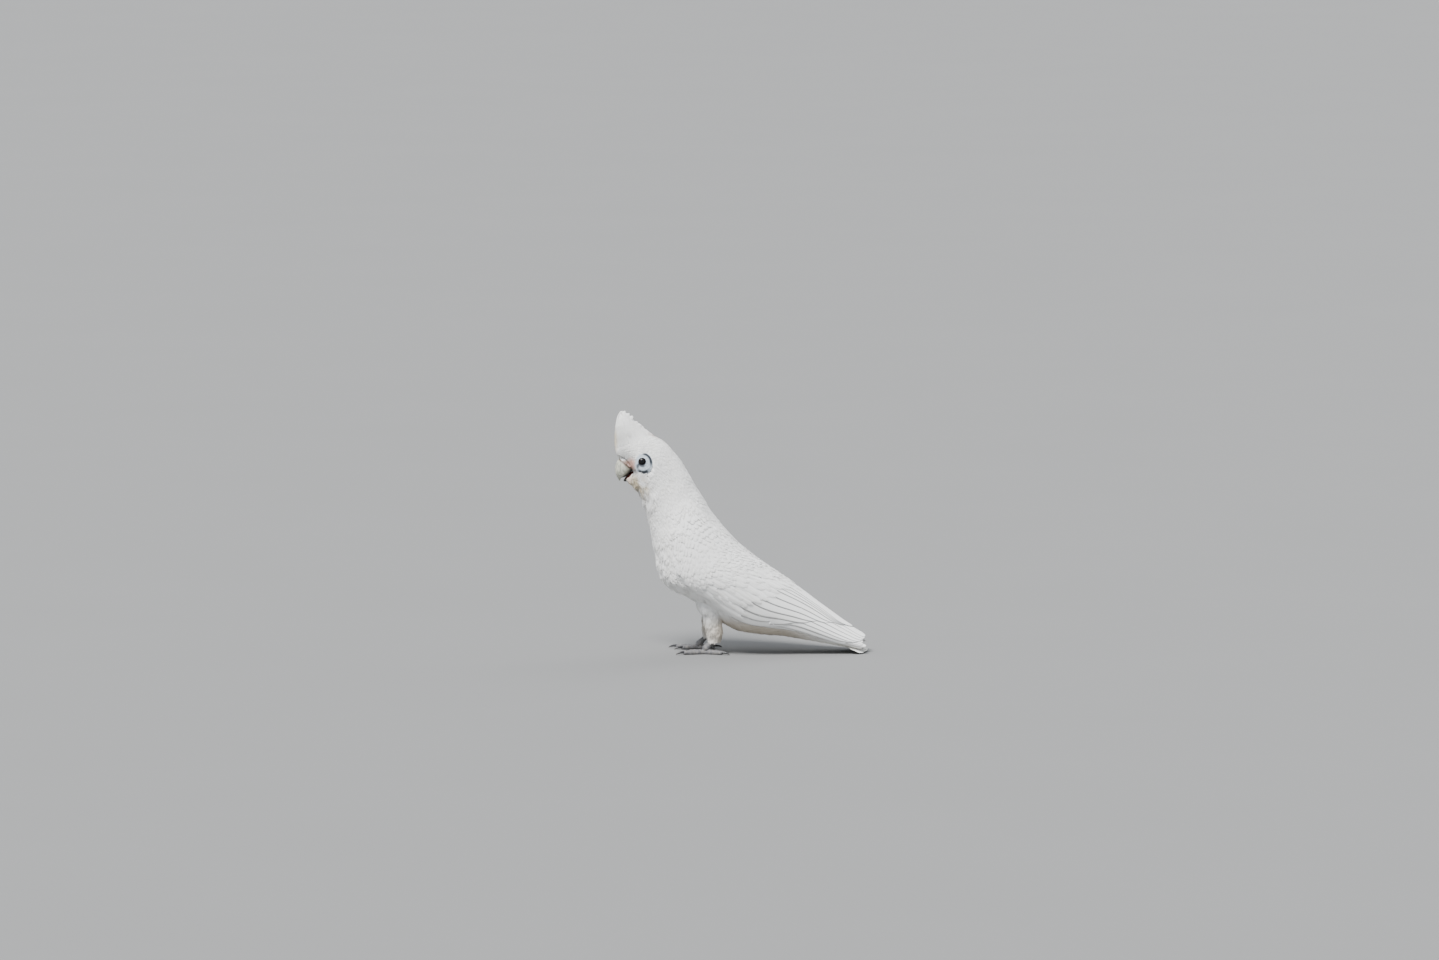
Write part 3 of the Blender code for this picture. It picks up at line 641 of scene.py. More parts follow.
@dataclass(frozen=True)
class Plumage:
    """White plumage with its stains and a painted shade on the belly, the same on the feathers and on the
    skin beneath them.
    """

    white: Triple = (0.90, 0.895, 0.875)
    ivory: Triple = (0.86, 0.84, 0.79)
    cream: Triple = (0.72, 0.60, 0.38)
    # painted shadow colour, for the crevice round the bill's root
    bill_shadow_brown: Triple = (0.22, 0.085, 0.04)
    salmon: Triple = (0.83, 0.42, 0.30)
    yellow: Triple = (0.86, 0.80, 0.56)
    pink: Triple = (0.86, 0.66, 0.55)
    # painted shade: the brown of belly and undertail lying in the wing's shadow, not a stain
    belly: Triple = (0.48, 0.39, 0.27)
    dusk: Triple = (0.52, 0.47, 0.40)

    def dress(self, lay: Lay) -> Material:
        """The finish for one lay of the plumage.

        Args:
            lay: What it is painted on.

        Returns:
            The material.
        """
        paint = Paint(f"plumage_{lay.value}", self.white, roughness=0.72, specular_ior_level=0.3)
        paint.set("Sheen Weight", 0.25)
        paint.set("Sheen Roughness", 0.5)
        place = paint.place()
        blotch = paint.noise(place, 90.0, 3.0)
        colour = self.stained(paint, blotch)
        if not lay.folded:
            # painted shade: warm brown over belly and undertail, where the folded wing shades them
            shade = paint.spot((15, 0, 26), (95, 70, 30), 0.5) * 0.75
            colour = paint.mix(shade, colour, self.belly)
        if lay is not Lay.SKIN:
            colour = self.vaned(paint, colour, lay)
        paint.set("Base Color", colour)
        paint.set("Roughness", blotch * 0.2 + 0.62)
        return paint.material

    def stained(self, paint: Paint, blotch: Value) -> Value:
        """The colour over the bird: cream cheeks and brow, salmon lores, yellow under wings and tail, and
        painted brown shadow round the bill's root.
        """
        spot = paint.spot
        cheek = spot((-118, 0, 190), (17, 60, 19)) * blotch.ramp(0.34, 0.62)
        grey = spot((-104, 0, 205), (9, 60, 4), 0.7) * blotch.ramp(0.45, 0.6)
        # painted shadow: dark brown where the forehead feathers overhang the bill and at the corner of the
        # mouth
        over_bill = spot((-133, 0, 219), (7, 30, 4), 0.6)
        cere_shadow = over_bill.math("MAXIMUM", spot((-127, 0, 211), (3, 30, 5), 0.6))
        stains = (  # where it lies, how strong it is, and its colour; each one covers those before it
            (blotch.ramp(0.35, 0.75), 0.25, self.ivory),
            (cheek, 0.75, self.cream),
            (spot((-124, 0, 196), (10, 40, 12), 0.6), 0.6, self.cream),  # chin
            (spot((-147, 0, 243), (9, 14, 22), 0.7), 0.7, self.cream),  # brow
            (spot((-112, 0, 247), (22, 7, 10), 0.6), 0.25, self.salmon),  # foot of the crest
            (spot((75, 0, 5), (85, 42, 16), 0.6), 0.6, self.yellow),  # under wings and tail
            (spot((-131, 0, 200), (8, 20, 8), 0.6), 0.7, self.pink),  # lip
            (grey, 0.25, self.dusk),
            (spot((-126, 0, 218), (8, 40, 11), 0.6), 0.75, self.salmon),  # lores
            (cere_shadow, 0.8, self.bill_shadow_brown),
        )
        colour = self.white
        for where, strength, stain in stains:
            colour = paint.mix(where * strength, colour, stain)
        return colour

    def vaned(self, paint: Paint, colour: Value, lay: Lay) -> Value:
        """Adds what each feather has: its own tint, a painted shade towards its root, a shaft and fine
        slanting barbs.
        """
        vane = paint.map("vane")
        out, back = paint.part(vane, 0), paint.part(vane, 1)
        across = (out - 0.5).math("ABSOLUTE")
        slant = (back * 60.0 - across * 26.0) if lay.stiff else (back * 16.0 - across * 9.0)
        barbs = (slant * 2 * math.pi).math("SINE") * 0.5 + 0.5
        shaft = 1.0 - across.ramp(0.0, 0.035 if lay.stiff else 0.05)
        paint.bump(barbs * 0.25 + shaft, 0.00016 if lay.stiff else 0.00012, 0.6)
        # painted shade: each feather darker towards its root, where the feather above overlaps it
        root = 1.0 - back.ramp(0.0, 0.55)
        colour = paint.mix(paint.mark("tint") * 0.08, colour, self.dusk)
        colour = paint.mix(root * 0.05, colour, self.dusk)
        return paint.mix(shaft * 0.12, colour, self.cream)


@dataclass(frozen=True)
class BillHorn:
    """Bone-coloured horn with growth lines, with painted brown shade at its root where the feathers overhang
    it and painted near black shade along the cutting edge, in the gap between the halves.
    """

    bone: Triple = (0.60, 0.585, 0.49)
    grey: Triple = (0.25, 0.265, 0.21)
    dark: Triple = (0.012, 0.010, 0.009)
    cere_shadow: Triple = (0.075, 0.032, 0.018)

    def dress(self) -> Material:
        """The material, whose map runs round in u and from the root to the tip in v."""
        paint = Paint("bill_horn", self.bone, specular_ior_level=0.5)
        down = paint.part(paint.map("form"), 1)
        streak = paint.streaks(paint.place(), (1.0, 2.0, 0.5), 420.0, 4.0)
        colour = paint.mix(streak.ramp(0.36, 0.64) * 0.75, self.bone, self.grey)
        colour = paint.mix(down.ramp(0.62, 1.0) * 0.55, colour, self.grey)
        # painted shade: the crevice where the bill's root runs under the feathers
        colour = paint.mix(paint.mark("root"), colour, self.cere_shadow)
        # painted shade: the dark gap along the cutting edge, between the halves
        paint.set("Base Color", paint.mix(paint.mark("edge"), colour, self.dark))
        paint.set("Roughness", streak * 0.25 + 0.3)
        lines = (down * 30.0 + streak * 2.0).math("SINE") * 0.5 + 0.5
        paint.bump(lines * 0.3 + streak, 0.00025, 0.6)
        return paint.material


@dataclass(frozen=True)
class BareSkin:
    """Bare blue-grey skin with fine folds, darker at the lids, and painted shadow in arcs near its edge and
    under the eye.
    """

    blue: Triple = (0.34, 0.41, 0.48)
    pale: Triple = (0.74, 0.77, 0.79)
    lid: Triple = (0.02, 0.023, 0.03)
    shadow_slate: Triple = (0.022, 0.026, 0.033)

    def dress(self) -> Material:
        """The material, whose map runs round the eye in u and outwards in v."""
        paint = Paint("bare_skin", self.blue, specular_ior_level=0.2)
        ring = paint.map("form")
        grain = paint.noise(paint.place(), 1400.0, 3.0)
        folds = paint.streaks(ring, (4.5, 5.0, 1.0), 3.0)
        out = paint.part(ring, 1)
        colour = paint.mix(folds.ramp(0.38, 0.68), self.blue, self.pale)
        colour = paint.mix(1.0 - out.ramp(0.05, 0.15), colour, self.lid)
        # painted shadow: the arcs kept in the mark rim
        colour = paint.mix(paint.mark("rim"), colour, self.shadow_slate)
        paint.set("Base Color", colour)
        paint.set("Roughness", grain * 0.3 + 0.4)
        paint.bump(folds + grain * 0.4, 0.0002, 0.7)
        return paint.material


@dataclass(frozen=True)
class EyeGlass:
    """A wet eye: black pupil, dark brown iris and a clear coat."""

    pupil: Triple = (0.004, 0.004, 0.005)
    iris: Triple = (0.014, 0.008, 0.005)

    def dress(self) -> Material:
        """The material, whose map runs round the ball in u and out from the pupil in v."""
        paint = Paint("eye", self.pupil, roughness=0.12, specular_ior_level=0.05)
        paint.set("Coat Weight", 1.0)
        paint.set("Coat IOR", 1.34)
        paint.set("Coat Roughness", 0.02)
        form = paint.map("form")
        out = paint.part(form, 1)
        rays = paint.streaks(form, (60.0, 2.0, 1.0), 3.0)
        iris = out.ramp(0.27, 0.31) * (rays * 0.7 + 0.3)
        paint.set("Base Color", paint.mix(iris, self.pupil, self.iris))
        paint.set("Roughness", out * 0.1 + 0.1)
        return paint.material


@dataclass(frozen=True)
class LegScales:
    """Dark grey scaly skin of the feet, dusty in its creases."""

    grey: Triple = (0.13, 0.13, 0.14)
    dust: Triple = (0.30, 0.28, 0.25)

    def dress(self) -> Material:
        """The material, with small polygonal scales between the modelled ones."""
        paint = Paint("leg_scales", self.grey, specular_ior_level=0.4)
        place = paint.place()
        settings = {"feature": "DISTANCE_TO_EDGE"}
        cells = paint.node("ShaderNodeTexVoronoi", settings, {"Vector": place, "Scale": 900.0})
        crease = 1.0 - cells.ramp(0.0, 0.12)
        wear = paint.noise(place, 260.0, 3.0)
        colour = paint.mix(wear.ramp(0.4, 0.75) * 0.6, self.grey, self.dust)
        paint.set("Base Color", paint.mix(crease * 0.5, colour, self.dust))
        paint.set("Roughness", wear * 0.3 + 0.4)
        paint.bump(cells.ramp(0.0, 0.15) + wear * 0.3, 0.00018, 0.7)
        return paint.material


@dataclass(frozen=True)
class ClawHorn:
    """Near-black satin horn, worn paler at the tips."""

    black: Triple = (0.035, 0.034, 0.036)
    worn: Triple = (0.16, 0.14, 0.12)

    def dress(self) -> Material:
        """The material, whose map runs from the root to the tip in v."""
        paint = Paint("claw_horn", self.black, specular_ior_level=0.5)
        form = paint.map("form")
        streak = paint.streaks(form, (30.0, 3.0, 1.0), 2.0)
        down = paint.part(form, 1)
        paint.set("Base Color", paint.mix(down.ramp(0.55, 1.0) * streak, self.black, self.worn))
        paint.set("Roughness", streak * 0.2 + 0.22)
        paint.bump(streak, 0.0001, 0.5)
        return paint.material


@dataclass(frozen=True)
class MouthLining:
    """The dark red lining between the halves of the bill."""

    red: Triple = (0.13, 0.032, 0.024)
    brown: Triple = (0.05, 0.014, 0.012)
    black: Triple = (0.010, 0.006, 0.006)

    def dress(self) -> Material:
        """The material."""
        paint = Paint("mouth_lining", self.red, roughness=0.35)
        wet = paint.noise(paint.place(), 500.0)
        # darker towards the tip: the dark tongue tip, deepened by painted shade where the upper bill hangs
        # over it
        deep = paint.spot((-134, 0, 197), (5, 20, 3.5), 0.6)
        paint.set("Base Color", paint.mix(deep, paint.mix(wet, self.red, self.brown), self.black))
        paint.bump(wet, 0.0002, 0.5)
        return paint.material


# ---------------------------------------------------------------------------------------- feathers


@dataclass(frozen=True)
class Lie:
    """A sheet that feathers lie on: a runs the way they point and b runs across it."""

    surface: Callable[[Array, Array], Array]
    low: Pair
    high: Pair
    sense: float = 1.0  # -1 where b x a points into the bird
    tile: tuple[float, float, float, float] = (0.0, 0.0, 1.0, 1.0)  # its place on the bake map

    def frame(self, a: Array, b: Array) -> tuple[Array, Array, Array, Array]:
        """Points, outward normals, and metres for each unit of a and of b, from small differences."""
        step_a = (self.high[0] - self.low[0]) * 1e-3
        step_b = (self.high[1] - self.low[1]) * 1e-3
        behind = np.clip(a - step_a, self.low[0], self.high[0])
        ahead = np.clip(a + step_a, self.low[0], self.high[0])
        down = (self.surface(ahead, b) - self.surface(behind, b)) / (ahead - behind)[..., None]
        across = (self.surface(a, b + step_b) - self.surface(a, b - step_b)) / (2 * step_b)
        normals = unit(np.cross(across, down)) * self.sense
        return self.surface(a, b), normals, np.linalg.norm(down, axis=-1), np.linalg.norm(across, axis=-1)

    def spread(self, exposed: Exposed, seed: int) -> tuple[Array, Array, Array]:
        """Roots spread evenly, thicker where less of each feather shows.

        The sheet is cut into cells, each weighted by its area over the area that one feather shows. An
        even sequence of number pairs is then run backwards through the sums of those weights.

        Args:
            exposed: Area that one feather shows. It is infinite where none grow.
            seed: Start of the even sequence.

        Returns:
            The a, the b and the point of each root.
        """
        rows, columns = SPREAD_CELLS
        edge_a = np.linspace(self.low[0], self.high[0], rows + 1)
        edge_b = np.linspace(self.low[1], self.high[1], columns + 1)
        a, b = np.meshgrid((edge_a[1:] + edge_a[:-1]) / 2, (edge_b[1:] + edge_b[:-1]) / 2, indexing="ij")
        points, _, metre_a, metre_b = self.frame(a, b)
        area = metre_a * metre_b * (edge_a[1] - edge_a[0]) * (edge_b[1] - edge_b[0]) / MM**2
        weight = area / exposed(points, a, b) + 1e-12
        by_row = weight.sum(1)
        order = seed * 1000 + np.arange(1, int(by_row.sum()) + 1)
        share_a, share_b = (order * EVEN_STEPS[0]) % 1, (order * EVEN_STEPS[1]) % 1
        root_a = np.interp(share_a, np.concatenate([[0], np.cumsum(by_row)]) / by_row.sum(), edge_a)
        row = np.clip(((root_a - edge_a[0]) / (edge_a[1] - edge_a[0])).astype(int), 0, rows - 1)
        sums = np.pad(np.cumsum(weight, 1) / by_row[:, None], ((0, 0), (1, 0)))
        lifted = (sums + 2.0 * np.arange(rows)[:, None]).ravel()
        index = np.searchsorted(lifted, share_b + 2.0 * row, side="right") - 1
        column = np.clip(index - row * (columns + 1), 0, columns - 1)
        start, end = sums[row, column], sums[row, column + 1]
        part = np.clip((share_b - start) / np.maximum(end - start, 1e-12), 0, 1)
        root_b = edge_b[column] + part * (edge_b[1] - edge_b[0])
        points = self.surface(root_a, root_b)
        grown = np.isfinite(exposed(points, root_a, root_b))
        return root_a[grown], root_b[grown], points[grown]

    def bake_place(self, a: Array, b: Array) -> Array:
        """A root's place on the bake map: its shares of a and b, in this sheet's tile of the map."""
        left, bottom, width, height = self.tile
        share_a = np.clip((a - self.low[0]) / (self.high[0] - self.low[0]), 0, 1)
        share_b = (b - self.low[1]) / (self.high[1] - self.low[1]) % 1.0
        room = 1 - 2 * PATCH
        right, up = PATCH + room * share_b, PATCH + room * share_a
        return np.stack([left + width * right, bottom + height * up], axis=-1)


@dataclass
class Plumes:
    """Sizes of each feather of a coat, in mm and radians, one number or one for each root."""

    length: Array
    width: Array
    root: Array | float  # height of the root above the sheet
    tip: Array | float  # height of the tip above the sheet
    swing: Array | float = 0.0  # turn of the feather from the way that a runs
    camber: Array | float = 0.25  # fall of the vane's edges below its shaft, as a share of half its width

    def picked(self, chosen: Array) -> "Plumes":
        """The sizes of some of the feathers."""
        return Plumes(*(size[chosen] if np.ndim(size) else size for size in vars(self).values()))


@dataclass(frozen=True)
class FeatherCut:
    """The outline of a small feather, cut into strips that part near the tip.

    The half width grows from base to 1 by a quarter sine up to the belly and falls to crown at the tip.
    Strips beside the shaft are longest, and each strip narrows from the split on to a share of its width.
    """

    strips: int = 5
    rows: int = 4
    base: float = 0.4
    belly: float = 0.55
    crown: float = 0.62
    split: float = 0.5
    narrow: float = 0.3
    round_off: float = 0.3  # share by which the outermost strips are shorter
    ragged: float = 0.28  # the largest share by which a strip is shortened at random

    def lay(self, lie: Lie, a: Array, b: Array, plumes: Plumes, seed: int) -> Shape:
        """Lays one feather at every root.

        A point's place along the vane is length times u times its strip's own length, and across it is
        the half width there times v, turned by the swing and measured out on the sheet. Its height is
        root + (tip - root) u^0.7, less the camber times v squared.

        Args:
            lie: The sheet they lie on.
            a: Roots along it.
            b: Roots across it.
            plumes: Their sizes.
            seed: Start of the random draw.

        Returns:
            All the feathers as one shape.
        """
        rng = np.random.default_rng(seed)
        count, strips, rows = len(a), self.strips, self.rows
        length, width, root, tip, swing, camber = (
            np.broadcast_to(np.asarray(size, float), count)[:, None, None, None]
            for size in vars(plumes).values()
        )
        u = np.linspace(0, 1, rows + 1)[None, None, :, None]
        middle = ((np.arange(strips) + 0.5) / strips * 2 - 1)[None, :, None, None]
        side = np.array([-1.0, 1.0])[None, None, None, :]
        reach = 1 - self.round_off * middle**2 - self.ragged * rng.random((count, strips, 1, 1))
        u = u * reach
        rise = self.base + (1 - self.base) * np.sin(np.clip(u / self.belly, 0, 1) * math.pi / 2)
        outline = rise * (1 - (1 - self.crown) * smooth_step(self.belly, 1.0, u))
        strip = (1 - (1 - self.narrow) * smooth_step(self.split, 1.0, u)) / strips
        v = middle + side * strip
        ahead, out = u * length, v * outline * width / 2
        height = root + (tip - root) * u**0.7 - camber * width / 2 * v**2 * outline
        height = height + 0.12 * (rng.random((count, strips, 1, 1)) - 0.5) * u
        root_a, root_b = a[:, None, None, None], b[:, None, None, None]
        _, _, metre_a, metre_b = lie.frame(root_a, root_b)
        least = 0.25 * np.median(metre_b)
        step_a = (ahead * np.cos(swing) - out * np.sin(swing)) * MM / metre_a
        step_b = (ahead * np.sin(swing) + out * np.cos(swing)) * MM / np.maximum(metre_b, least)
        at_a = np.clip(root_a + step_a, lie.low[0], lie.high[0])
        points, normals, _, _ = lie.frame(at_a, root_b + step_b)
        points = points + normals * (height * MM)[..., None]
        points[..., 2] = np.maximum(points[..., 2], LOWEST)
        per = strips * (rows + 1) * 2
        corner = (np.arange(strips)[:, None] * (rows + 1) + np.arange(rows)[None, :]) * 2
        quad = np.stack([corner, corner + 1, corner + 3, corner + 2], axis=-1).reshape(-1, 4)
        faces = (quad[None] + per * np.arange(count)[:, None, None]).reshape(-1, 4)
        vane = np.stack(np.broadcast_arrays(0.5 + v / 2, u), axis=-1)
        bake = lie.bake_place(a, b)[:, None, None, None] + (vane - 0.5) * PATCH
        tint = np.broadcast_to(rng.random((count, 1, 1, 1)) ** 2, (count, strips, rows + 1, 2))
        shape = Shape(
            points.reshape(-1, 3),
            [faces],
            {"OFBake": bake.reshape(-1, 2), "vane": vane.reshape(-1, 2)},
            {"tint": tint.reshape(-1)},
        )
        return shape if lie.sense > 0 else shape.turned()


SOFT_CUT = FeatherCut()
FACE_CUT = FeatherCut(strips=3, rows=3, base=0.5, belly=0.45, crown=0.6, split=0.45, narrow=0.25, ragged=0.25)
COVERT_CUT = FeatherCut(strips=7, rows=5, crown=0.72, split=0.8, narrow=0.7, round_off=0.38, ragged=0.03)


@dataclass(frozen=True)
class Quill:
    """A long stiff feather: a closed vane with a shaft, from rings that run over it and back beneath.

    The half width rises over the base share and rounds off at the tip as part of a circle. The tilt lifts
    the side at v = 1 and lowers the other, the shaft stands up in the middle, and the vane thins out to
    its edges.
    """

    rows: int = 30
    base: float = 0.12
    tip: float = 0.10
    slim: float = 0.25  # share by which it is narrower at its root than at its belly
    thick: float = 0.3  # mm
    shaft: float = 0.22  # mm by which the shaft stands up
    shaft_side: float = -0.15  # place of the shaft across the vane
    columns: Row = (-1.0, -0.85, -0.62, -0.35, -0.07, 0.0, 0.07, 0.3, 0.55, 0.8, 1.0)

    def vane(self) -> list[Array]:
        """The quill's outline before it is laid.

        Returns:
            At every point of the rings, the shares u along and v across, the half width as a share, and
            the height of shaft and edges in mm.
        """
        share = np.linspace(0.01, 1, self.rows)
        u = (0.35 * share + 0.65 * np.sin(share * math.pi / 2))[:, None]
        over = np.asarray(self.columns)
        v = np.concatenate([over, over[-2:0:-1]])[None, :]
        upper = np.concatenate([np.ones(len(over)), np.zeros(len(over) - 2)])[None, :]
        half = (1 - self.slim) + self.slim * np.sin(np.clip(u / 0.6, 0, 1) * math.pi / 2)
        half = half * np.sqrt(np.clip(u / self.base, 0.02, 1))
        past = np.clip((u - (1 - self.tip)) / self.tip, 0, 1)
        half = half * np.sqrt(np.clip(1 - past**2.2, 0.004, 1))
        edge = np.clip((1 - np.abs(v)) / 0.2, 0, 1)
        relief = self.shaft * np.exp(-((v / 0.09) ** 2)) * (1 - 0.7 * u) * upper
        relief = relief - self.thick * (1 - upper) * edge
        return np.broadcast_arrays(u, v, half, relief)

    def lay(
        self,
        lie: Lie,
        start: Pair,
        end: Pair,
        width: float,
        heights: Pair,
        tilt: float,
        seed: int,
    ) -> Shape:
        """Lays one quill on a sheet.

        Args:
            lie: The sheet.
            start: Its root's a and b.
            end: Its tip's a and b.
            width: Full width in mm.
            heights: Height above the sheet in mm at the root and at the tip.
            tilt: Height in mm by which the side with the greater b stands above the other.
            seed: Start of the random draw.

        Returns:
            The quill as a closed shape.
        """
        rng = np.random.default_rng(seed)
        u, v, half, relief = self.vane()
        wave = np.sin(u * rng.uniform(7, 11) + rng.uniform(0, 6)) * 0.04 * np.abs(v)
        shift = (v + self.shaft_side * (1 - v**2)) * half * (1 + wave) * width / 2
        a = start[0] + (end[0] - start[0]) * u
        middle = start[1] + (end[1] - start[1]) * u
        _, _, _, metre_b = lie.frame(a, middle)
        b = middle + shift * MM / metre_b
        a = np.clip(a, lie.low[0], lie.high[0])
        points, normals, _, _ = lie.frame(a, b)
        height = heights[0] + (heights[1] - heights[0]) * u + tilt / 2 * v + relief
        shape = closed_rings(points + normals * (height * MM)[..., None])
        vane = tube_map(0.5 + v / 2, u)
        shape.maps = {"OFBake": vane, "vane": vane}
        shape.marks = {"tint": np.full(len(vane), rng.random() ** 2)}
        return shape


WING_CUT = Quill(tip=0.1, slim=0.1, thick=0.08, shaft=0.16)
TAIL_COVERT_CUT = Quill(rows=18, tip=0.25, slim=0.3, thick=0.12, shaft=0.14)
FLANK_CUT = Quill(rows=16, base=0.3, tip=0.25, slim=0.2, thick=0.15, shaft=0.1, shaft_side=0.0)
CREST_CUT = Quill(rows=18, base=0.25, tip=0.22, slim=0.2, thick=0.2, shaft=0.12, shaft_side=0.0)


def tiled(quills: list[Shape]) -> Shape:
    """All the quills as one shape, each with a square tile of its own on the bake map."""
    across = math.ceil(math.sqrt(len(quills)))
    for number, quill in enumerate(quills):
        corner = np.array([number % across, number // across])
        quill.maps["OFBake"] = (corner + 0.04 + 0.92 * quill.maps["vane"]) / across
    return Shape.joined(quills)


# ---------------------------------------------------------------------------------------- the bird


@dataclass(frozen=True)
class Wing:
    """A folded wing: a shell on the body between an upper and a lower edge, with rows of feathers.

    Shares run along it from its leading edge to its tip and down it from its upper to its lower edge.
    Tables run along the body's stations from its first one.
    """

    side: int = LEFT
    first: float = 6.0  # station of its leading edge
    last: float = 11.92  # station of its tip
    tip_rounding: float = 0.55  # stations by which the tip's lower corner falls short
    top_turn: Row = (42, 34, 24, 14, 7, 5, 8)  # degrees, the turn of its upper edge
    under_share: Row = (0.66, 0.72, 0.77, 0.73, 0.61, 0.62, 0.66)  # how far down the body its lower edge is
    proud: float = 0.9  # mm above the body's outline
    clear: float = 0.4  # mm kept from the bird's middle

    def edges(self, place: Array) -> tuple[Array, Array]:
        """The turns of the upper and the lower edge at a station number."""
        row = np.clip(place - self.first, 0, len(self.top_turn) - 1)
        return np.radians(along(self.top_turn, row)), BODY.turn_at(place, along(self.under_share, row))

    def span(self, down: Array) -> tuple[Array, Array]:
        """The station numbers of the leading edge and of the tip, at a share down the wing."""
        down = np.clip(down, 0, 1)
        return self.first - 0.5 * np.sin(math.pi * down), self.last - self.tip_rounding * down**2

    def surface(self, part: Array, down: Array) -> Array:
        """Points of the wing's outside at shares along and down it."""
        part, down = np.broadcast_arrays(part, down)
        lead, end = self.span(down)
        place = lead + (end - lead) * part
        top, low = self.edges(place)
        turn = top + (low - top) * down
        points = BODY.points(place, turn)
        points = points + unit(points - BODY.middle(place)) * self.proud * MM
        points[..., 1] = np.minimum(points[..., 1], -self.clear * MM) * self.side
        return points

    def shares(self, place: Array, turn: Array) -> tuple[Array, Array]:
        """Shares along and down the wing of a place on the body, on either side."""
        top, low = self.edges(place)
        down = (np.abs(turn) - top) / (low - top)
        lead, end = self.span(down)
        return (place - lead) / (end - lead), down

    def lie(self, high: Pair = (1.0, 1.12)) -> Lie:
        """The wing as a sheet for feathers, a little wider than it is."""
        return Lie(self.surface, (-0.03, -0.08), high, float(self.side))

    def coverts(self) -> list[Shape]:
        """Small, middle and great coverts, each row over the root of the next."""
        seed = 40 if self.side == LEFT else 50
        rows = (
            (18.0, -0.03, (0.37, 0.33), 12.5, 8.0, (-0.2, 1.1)),
            (50.0, 0.16, (0.49, 0.44), 23.0, 12.0, (-0.9, 0.6)),
            (90.0, 0.22, (0.60, 0.56), 36.0, 15.0, (-1.0, 0.4)),
        )
        return [self.covert_row(*row, seed, seed + number) for number, row in enumerate(rows)]

    def covert_row(
        self,
        shown: float,
        first: float,
        ends: Pair,
        length: float,
        width: float,
        heights: Pair,
        wave_seed: int,
        seed: int,
    ) -> Shape:
        """One row of coverts.

        Args:
            shown: Area in mm2 that one feather shows.
            first: Share along the wing beyond which they grow.
            ends: Share along the wing up to which they reach, at its upper and at its lower edge.
            length: Length in mm.
            width: Width in mm.
            heights: Height above the sheet in mm at the root and at the tip.
            wave_seed: Start of the random draw of the waves that all rows share.
            seed: Start of the row's own random draws.

        Returns:
            The feathers.
        """
        lie = self.lie()
        a, b, points = lie.spread(lambda points, a, b: np.full(a.shape, shown), seed)
        reach = length * MM / lie.frame(np.array([0.3]), np.array([0.5]))[2]
        end = ends[0] + (ends[1] - ends[0]) * b
        keep = (a + reach < end) & (a > first) & (b > -0.02) & (b < 1.03)
        a, b, points = a[keep], b[keep], points[keep]
        rng = np.random.default_rng(seed)
        small = 0.72 + 0.28 * smooth_step(0.0, 0.12, a)
        plumes = Plumes(
            length * small * rng.uniform(0.9, 1.1, len(a)),
            width * small * rng.uniform(0.9, 1.1, len(a)),
            heights[0],
            heights[1] + 0.25 * ripple(points, 0.03, wave_seed) + rng.uniform(-0.2, 0.2, len(a)),
            rng.normal(0, 0.05, len(a)) + 0.06 * ripple(points, 0.05, wave_seed + 7),
            0.2,
        )
        return COVERT_CUT.lay(lie, a, b, plumes, seed)

    def quills(self) -> list[Shape]:
        """Primaries, more beneath their ends, then secondaries, then tertials on top near the back.

        In each group the later a quill is, the lower it lies and the further down the wing.
        """
        seed = 100 if self.side == LEFT else 200
        lie, beneath = self.lie(), self.lie((1.15, 1.3))
        shapes = []
        for number in range(7):
            part = number / 6
            start, tip = (0.42, 0.30 + 0.64 * part), (0.998 - 0.015 * part**2, 0.14 + 0.91 * part)
            heights = (-1.1 - 0.09 * number, -0.1 - 0.12 * number)
            cut = replace(WING_CUT, tip=0.07)
            shapes.append(cut.lay(lie, start, tip, 15.0, heights, 0.24, seed + number))
        for number in range(4):
            start, tip = (0.6, 0.92 + 0.04 * number), (1.01 + 0.02 * number, 0.66 + 0.15 * number)
            heights = (-1.8, -1.1 - 0.25 * number)
            shapes.append(WING_CUT.lay(beneath, start, tip, 14.0, heights, 0.2, seed + 60 + number))
        for number in range(7):
            part = number / 6
            start = (0.24, 0.20 + 0.75 * part)
            tip = (0.865 - 0.17 * part - 0.012 * (number % 2), 0.27 + 0.70 * part)
            heights = (-1.0 - 0.1 * number, 0.05 - 0.13 * number)
            cut = replace(WING_CUT, tip=0.13)
            shapes.append(cut.lay(lie, start, tip, 19.0, heights, 0.28, seed + 20 + number))
        for number in range(4):
            part = number / 3
            start, tip = (0.26, 0.04 + 0.20 * part), (0.895 - 0.03 * part, 0.02 + 0.21 * part)
            cut = replace(WING_CUT, tip=0.15, slim=0.15, thick=0.1)
            shapes.append(cut.lay(lie, start, tip, 22.0, (-0.9, 0.4 - 0.1 * number), 0.2, seed + 40 + number))
        return shapes


